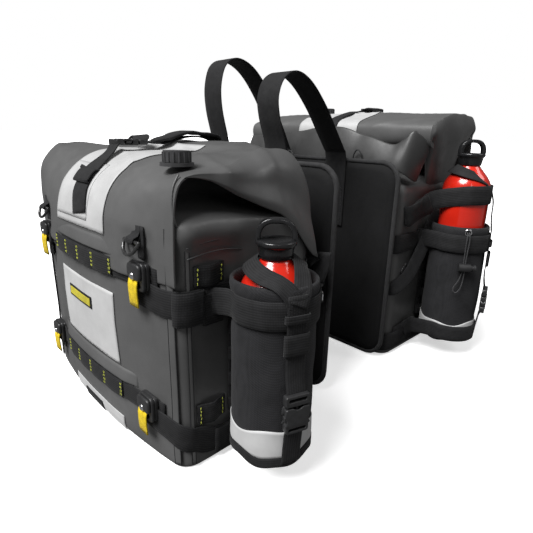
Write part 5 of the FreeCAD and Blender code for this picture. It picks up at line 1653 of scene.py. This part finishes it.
# (sideways, outwards from the holster's axis, height from the grommet)
CORD_ROUTE = [
    (1.7, COLLAR_OUT + 1.3, 0.0),
    (1.8, COLLAR_OUT + 5.6, -1.4),
    (2.3, COLLAR_OUT + 8.0, -7.0),
    (2.8, COLLAR_OUT + 8.2, -17.0),
    (2.2, CORD_OUT + 0.3, -34.0),
    (1.7, CORD_OUT, -56.0),
    (1.9, CORD_OUT - 0.1, -78.0),
    (6.5, CORD_OUT - 0.6, -95.0),
    (13.0, CORD_OUT - 1.2, -105.0),
    (13.5, CORD_OUT - 1.6, -115.0),
    (6.5, CORD_OUT - 1.4, -118.5),
    (0.5, CORD_OUT - 0.9, -109.0),
    (-1.9, CORD_OUT - 0.4, -94.0),
    (-1.9, CORD_OUT, -76.0),
    (-1.7, CORD_OUT, -55.0),
    (-2.1, CORD_OUT + 0.3, -34.0),
    (-2.8, COLLAR_OUT + 8.2, -17.0),
    (-2.3, COLLAR_OUT + 8.0, -7.0),
    (-1.8, COLLAR_OUT + 5.6, -1.4),
    (-1.7, COLLAR_OUT + 1.3, 0.0),
]


def holster_point(side_way, out, z):
    """A place given sideways and outwards from the holster's axis, on the drawcord's side of it."""
    turn = math.radians(CORD_ANGLE)
    return (HOLSTER_X + out * math.cos(turn) - side_way * math.sin(turn),
            HOLSTER_V + out * math.sin(turn) + side_way * math.cos(turn), z)


def drawcord():
    """The cord from its eyelet down through the lock, round its loop and back up."""
    curve = bpy.data.curves.new("drawcord_line", "CURVE")
    curve.dimensions = "3D"
    curve.bevel_depth = CORD_R / 1000.0
    curve.bevel_resolution = 4
    curve.resolution_u = 8
    line = curve.splines.new("NURBS")
    points = world("right", [holster_point(s, out, GROMMET_Z + z) for s, out, z in CORD_ROUTE])
    line.points.add(len(points) - 1)
    for point, at in zip(line.points, points):
        point.co = (*at, 1.0)
    line.order_u = 3
    line.use_endpoint_u = True
    curve.use_fill_caps = True
    obj = bpy.data.objects.new("elastic_drawcord", curve)
    bpy.context.scene.collection.objects.link(obj)
    curve.materials.append(MATS["cord_black"])
    return obj


def eyelet():
    """The drawcord's rolled metal eyelet in the far holster's collar."""
    turn = math.radians(CORD_ANGLE)
    out_way = np.array((math.cos(turn), math.sin(turn), 0.0))
    way = np.array((-math.sin(turn), math.cos(turn), 0.0))
    centre = np.array(holster_point(0.0, COLLAR_OUT + 0.9, GROMMET_Z))
    path = [centre + 5.3 * (way * math.cos(a) + np.array(UP) * math.sin(a)) - out_way * 0.2
            for a in np.linspace(0, 2 * math.pi, 36, endpoint=False)]
    return tube("drawcord_eyelet", "right", path, 1.5, "rivet_metal", 10, True)


# ---------------------------------------------------------------- build one bag
def place(body, obj, *replaced):
    """Lets a piece follow a body and stand for parts of the design."""
    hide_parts(*replaced)
    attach(obj, body)


def ride_all(body, *objects):
    """Lets each of the objects follow a body."""
    for obj in objects:
        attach(obj, body)


def trims(side):
    """The reflective stripe, the rectangle on the face and the wrap at the base."""
    made = []
    x = (MID_X - 78.0, MID_X + 78.0)
    last = 50 if side == "left" else COVER_ROWS - 2
    made.append(cover_patch("stripe", side, x, (8, last), 1.2, "reflective_fabric"))
    if side == "left":
        inset = (MID_X - 75.0, MID_X + 27.0)
        made.append(cover_patch("inset", side, inset, (10, 26), 1.9, "reflective_fabric", 0.0012))
    for name, reach, z_range, lift in (("face", 90.0, (116.0, 222.0), 1.1), ("base", 86.0, (3.0, 28.0), 1.0)):
        x = (MID_X - reach, MID_X + reach)
        made.append(face_patch(name, side, x, z_range, lift, "reflective_fabric"))
    made.append(holster_band(side))
    return join(side + "_reflective_pieces", made)


def label(side):
    """A woven label with a dark border and nothing written on it."""
    border = face_patch(side + "_label_border", side, (MID_X - 57.0, MID_X + 27.0), (180.5, 198.0), 2.2,
                        "webbing", 0.0012)
    field = face_patch(side + "_label_field", side, (MID_X - 53.0, MID_X + 23.0), (183.5, 195.0), 3.0,
                       "label_yellow", 0.0010)
    return border, field


def slack(side, still, moving):
    """Where a strap stays still and where it follows its prong, in metres in the frame."""
    return [tuple(float(c) for c in place) for place in world(side, [still, moving])]


def build_bag(side):
    """Every piece of one bag, what it stands for in the frame and what it follows."""
    body = side + "_bag"
    place(body, bag_body(side), side + "_shell", side + "_inner_stiffeners")
    place(body, cover(side), side + "_roll_top")
    ride_all(body, corner_welts(side))
    place(body, trims(side), side + "_reflective_trim")
    border, field = label(side)
    ride_all(body, border)
    place(body, field, side + "_label")
    rows, threads = outer_rows(side)
    place(body, rows, side + "_webbing_loops")
    ride_all(body, threads, *end_loops(side), ring_tabs(side), *hangers(side))
    place(body, edge_ledges(side), side + "_edge_rails")
    for obj, name in zip(anchors(side), ("_anchor_buckles", "_rivets", "_pull_tabs")):
        place(body, obj, side + name)
    place(body, side_straps(side), side + "_side_straps")
    fixed, pulled = top_strap(side)
    place(body, fixed, side + "_top_strap")
    x, v, z = TOP_STRAP_X[side], TOP_UPPER[side][0][0], TOP_BUCKLE_Z[side]
    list(slack(side, (x, v + 74.0, z), (x, v + 12.0, z)))
    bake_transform(pulled)
    buckles = (("_top_buckle", top_buckle(side)), ("_holster_buckle", holster_buckle(side)))
    for name, (socket, prong) in buckles:
        place(body, socket, side + name + "_socket")
        place(side + name + "_prong", prong, side + name + "_prong")
    place(body, holster(side), side + "_holster")
    place(body, bottle(side), side + "_bottle")
    place(side + "_bottle_cap", bottle_cap(side), side + "_bottle_cap")
    fixed, pulled = bottle_straps(side)
    place(body, fixed, side + "_bottle_straps")
    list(slack(side, (HOLSTER_FACE, HOLSTER_V, 255.0), (HOLSTER_FACE, HOLSTER_V, 152.0)))
    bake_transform(pulled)
    panel, binding = back_panel(side)
    place(body, panel, side + "_back_panel")
    ride_all(body, binding, *(top_loop(which, side) for which in YOKE_X))


def build_pair():
    """Both bags, what only one of them has, the yoke between them and the drawcord."""
    for side in SIDES:
        build_bag(side)
    ride_all("right_bag", strap_slider("right"), eyelet(), inner_slope())
    ride_all("left_bag", hook_tab())
    for which in YOKE_X:
        for side in SIDES:
            half = yoke_half(which, side)
            if side == "left":
                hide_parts(which + "_yoke_strap")
            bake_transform(half)
    place("right_bag", drawcord(), "drawcord")


# The metal and moulded pieces that are kept as they were designed, and their materials.
CARRIED = {"snap_hook": "ring_metal", "snap_gate": "rivet_metal", "cord_lock": "buckle_plastic",
           "lock_plunger": "buckle_plastic"}
for side in SIDES:
    CARRIED.update({side + "_front_d_ring": "ring_metal", side + "_rear_d_ring": "ring_metal",
                    side + "_valve_seat": "valve_plastic", side + "_valve_knob": "valve_plastic"})


def dress_carried():
    for name, mat in CARRIED.items():
        mesh = frame["nodes"][name].data
        mesh.materials.clear()
        mesh.materials.append(MATS[mat])


# ---------------------------------------------------------------- floor, light and camera
CAMERA_AT = (0.5690, -0.6066, 0.4283)
CAMERA_YAW = 135.875
CAMERA_PITCH = 16.955
CAMERA_ROLL = -1.425
CAMERA_LENS = 29.39
FILL = 0.12
KEY = 5.0
KEY_WAY = (0.06, 0.60, -0.80)
FLOOR_REACH = 60.0
FLOOR_LIFT = 0.58
FLOOR_RETURN = 0.14


def plain_stage():
    """A pale floor. What it sends back onto the object is weaker than what the camera sees of it."""
    mesh = bpy.data.meshes.new("floor")
    corners = [(x * FLOOR_REACH, y * FLOOR_REACH, 0) for x, y in ((-1, -1), (1, -1), (1, 1), (-1, 1))]
    mesh.from_pydata(corners, [], [(0, 1, 2, 3)])
    floor = bpy.data.objects.new("floor", mesh)
    bpy.context.scene.collection.objects.link(floor)
    mat = bpy.data.materials.new("studio_floor")
    mat.use_nodes = True
    mat.node_tree.nodes.clear()
    out = node(mat, "ShaderNodeOutputMaterial")
    seen = node(mat, "ShaderNodeBsdfDiffuse", Color=(0.96, 0.96, 0.96, 1.0))
    lifted = node(mat, "ShaderNodeEmission", Color=(1.0, 1.0, 1.0, 1.0), Strength=FLOOR_LIFT)
    total = node(mat, "ShaderNodeAddShader")
    link(mat, seen.outputs[0], total.inputs[0])
    link(mat, lifted.outputs[0], total.inputs[1])
    returned = node(mat, "ShaderNodeBsdfDiffuse", Color=(*grey(FLOOR_RETURN), 1.0))
    path = node(mat, "ShaderNodeLightPath")
    mix = node(mat, "ShaderNodeMixShader")
    link(mat, path.outputs["Is Camera Ray"], mix.inputs[0])
    link(mat, returned.outputs[0], mix.inputs[1])
    link(mat, total.outputs[0], mix.inputs[2])
    link(mat, mix.outputs[0], out.inputs[0])
    mesh.materials.append(mat)


def area_light(name, at, aim, size, power):
    """A rectangular lamp at a place, turned to another."""
    data = bpy.data.lights.new(name, "AREA")
    data.shape = "RECTANGLE"
    data.size, data.size_y = size
    data.energy = power
    obj = bpy.data.objects.new(name, data)
    obj.location = at
    obj.rotation_euler = (Vector(aim) - Vector(at)).to_track_quat("-Z", "Y").to_euler()
    bpy.context.scene.collection.objects.link(obj)


def light():
    """A soft key from the near side and above, weak fill, and a pale backdrop behind."""
    scene = bpy.context.scene
    scene.world = bpy.data.worlds.new("studio")
    scene.world.use_nodes = True
    tree = scene.world.node_tree
    background = tree.nodes["Background"]
    background.inputs[0].default_value = (1.0, 1.0, 1.0, 1.0)
    background.inputs[1].default_value = FILL
    backdrop = tree.nodes.new("ShaderNodeBackground")
    backdrop.inputs[0].default_value = (1.0, 1.0, 1.0, 1.0)
    backdrop.inputs[1].default_value = 1.0
    path = tree.nodes.new("ShaderNodeLightPath")
    mix = tree.nodes.new("ShaderNodeMixShader")
    tree.links.new(path.outputs["Is Camera Ray"], mix.inputs[0])
    tree.links.new(background.outputs[0], mix.inputs[1])
    tree.links.new(backdrop.outputs[0], mix.inputs[2])
    tree.links.new(mix.outputs[0], tree.nodes["World Output"].inputs[0])
    data = bpy.data.lights.new("key", "SUN")
    data.energy = KEY
    data.angle = math.radians(34.0)
    key = bpy.data.objects.new("key", data)
    key.rotation_euler = Vector(KEY_WAY).to_track_quat("-Z", "Y").to_euler()
    scene.collection.objects.link(key)
    area_light("rim", (1.5, 1.3, 1.9), (0.1, 0.1, 0.3), (0.9, 0.9), 9.0)
    area_light("glint", (1.7, -1.1, 1.3), (0.2, -0.2, 0.2), (0.16, 0.9), 1.6)
    scene.view_settings.view_transform = "Standard"


def camera():
    """The camera of the photo's view, given by its place, turn, tilt and roll."""
    data = bpy.data.cameras.new("camera")
    data.lens = CAMERA_LENS
    data.sensor_width = 36.0
    data.clip_start = 0.02
    obj = bpy.data.objects.new("camera", data)
    bpy.context.scene.collection.objects.link(obj)
    yaw, pitch, roll = (math.radians(a) for a in (CAMERA_YAW, CAMERA_PITCH, CAMERA_ROLL))
    ahead = Vector((math.cos(yaw) * math.cos(pitch), math.sin(yaw) * math.cos(pitch), -math.sin(pitch)))
    right = Vector((math.sin(yaw), -math.cos(yaw), 0.0))
    up = right.cross(ahead)
    turned_right = right * math.cos(roll) - up * math.sin(roll)
    turned_up = up * math.cos(roll) + right * math.sin(roll)
    matrix = Matrix((turned_right, turned_up, -ahead)).transposed().to_4x4()
    matrix.translation = Vector(CAMERA_AT)
    obj.matrix_world = matrix
    bpy.context.scene.camera = obj


plain_stage()
light()
camera()
build_pair()
dress_carried()
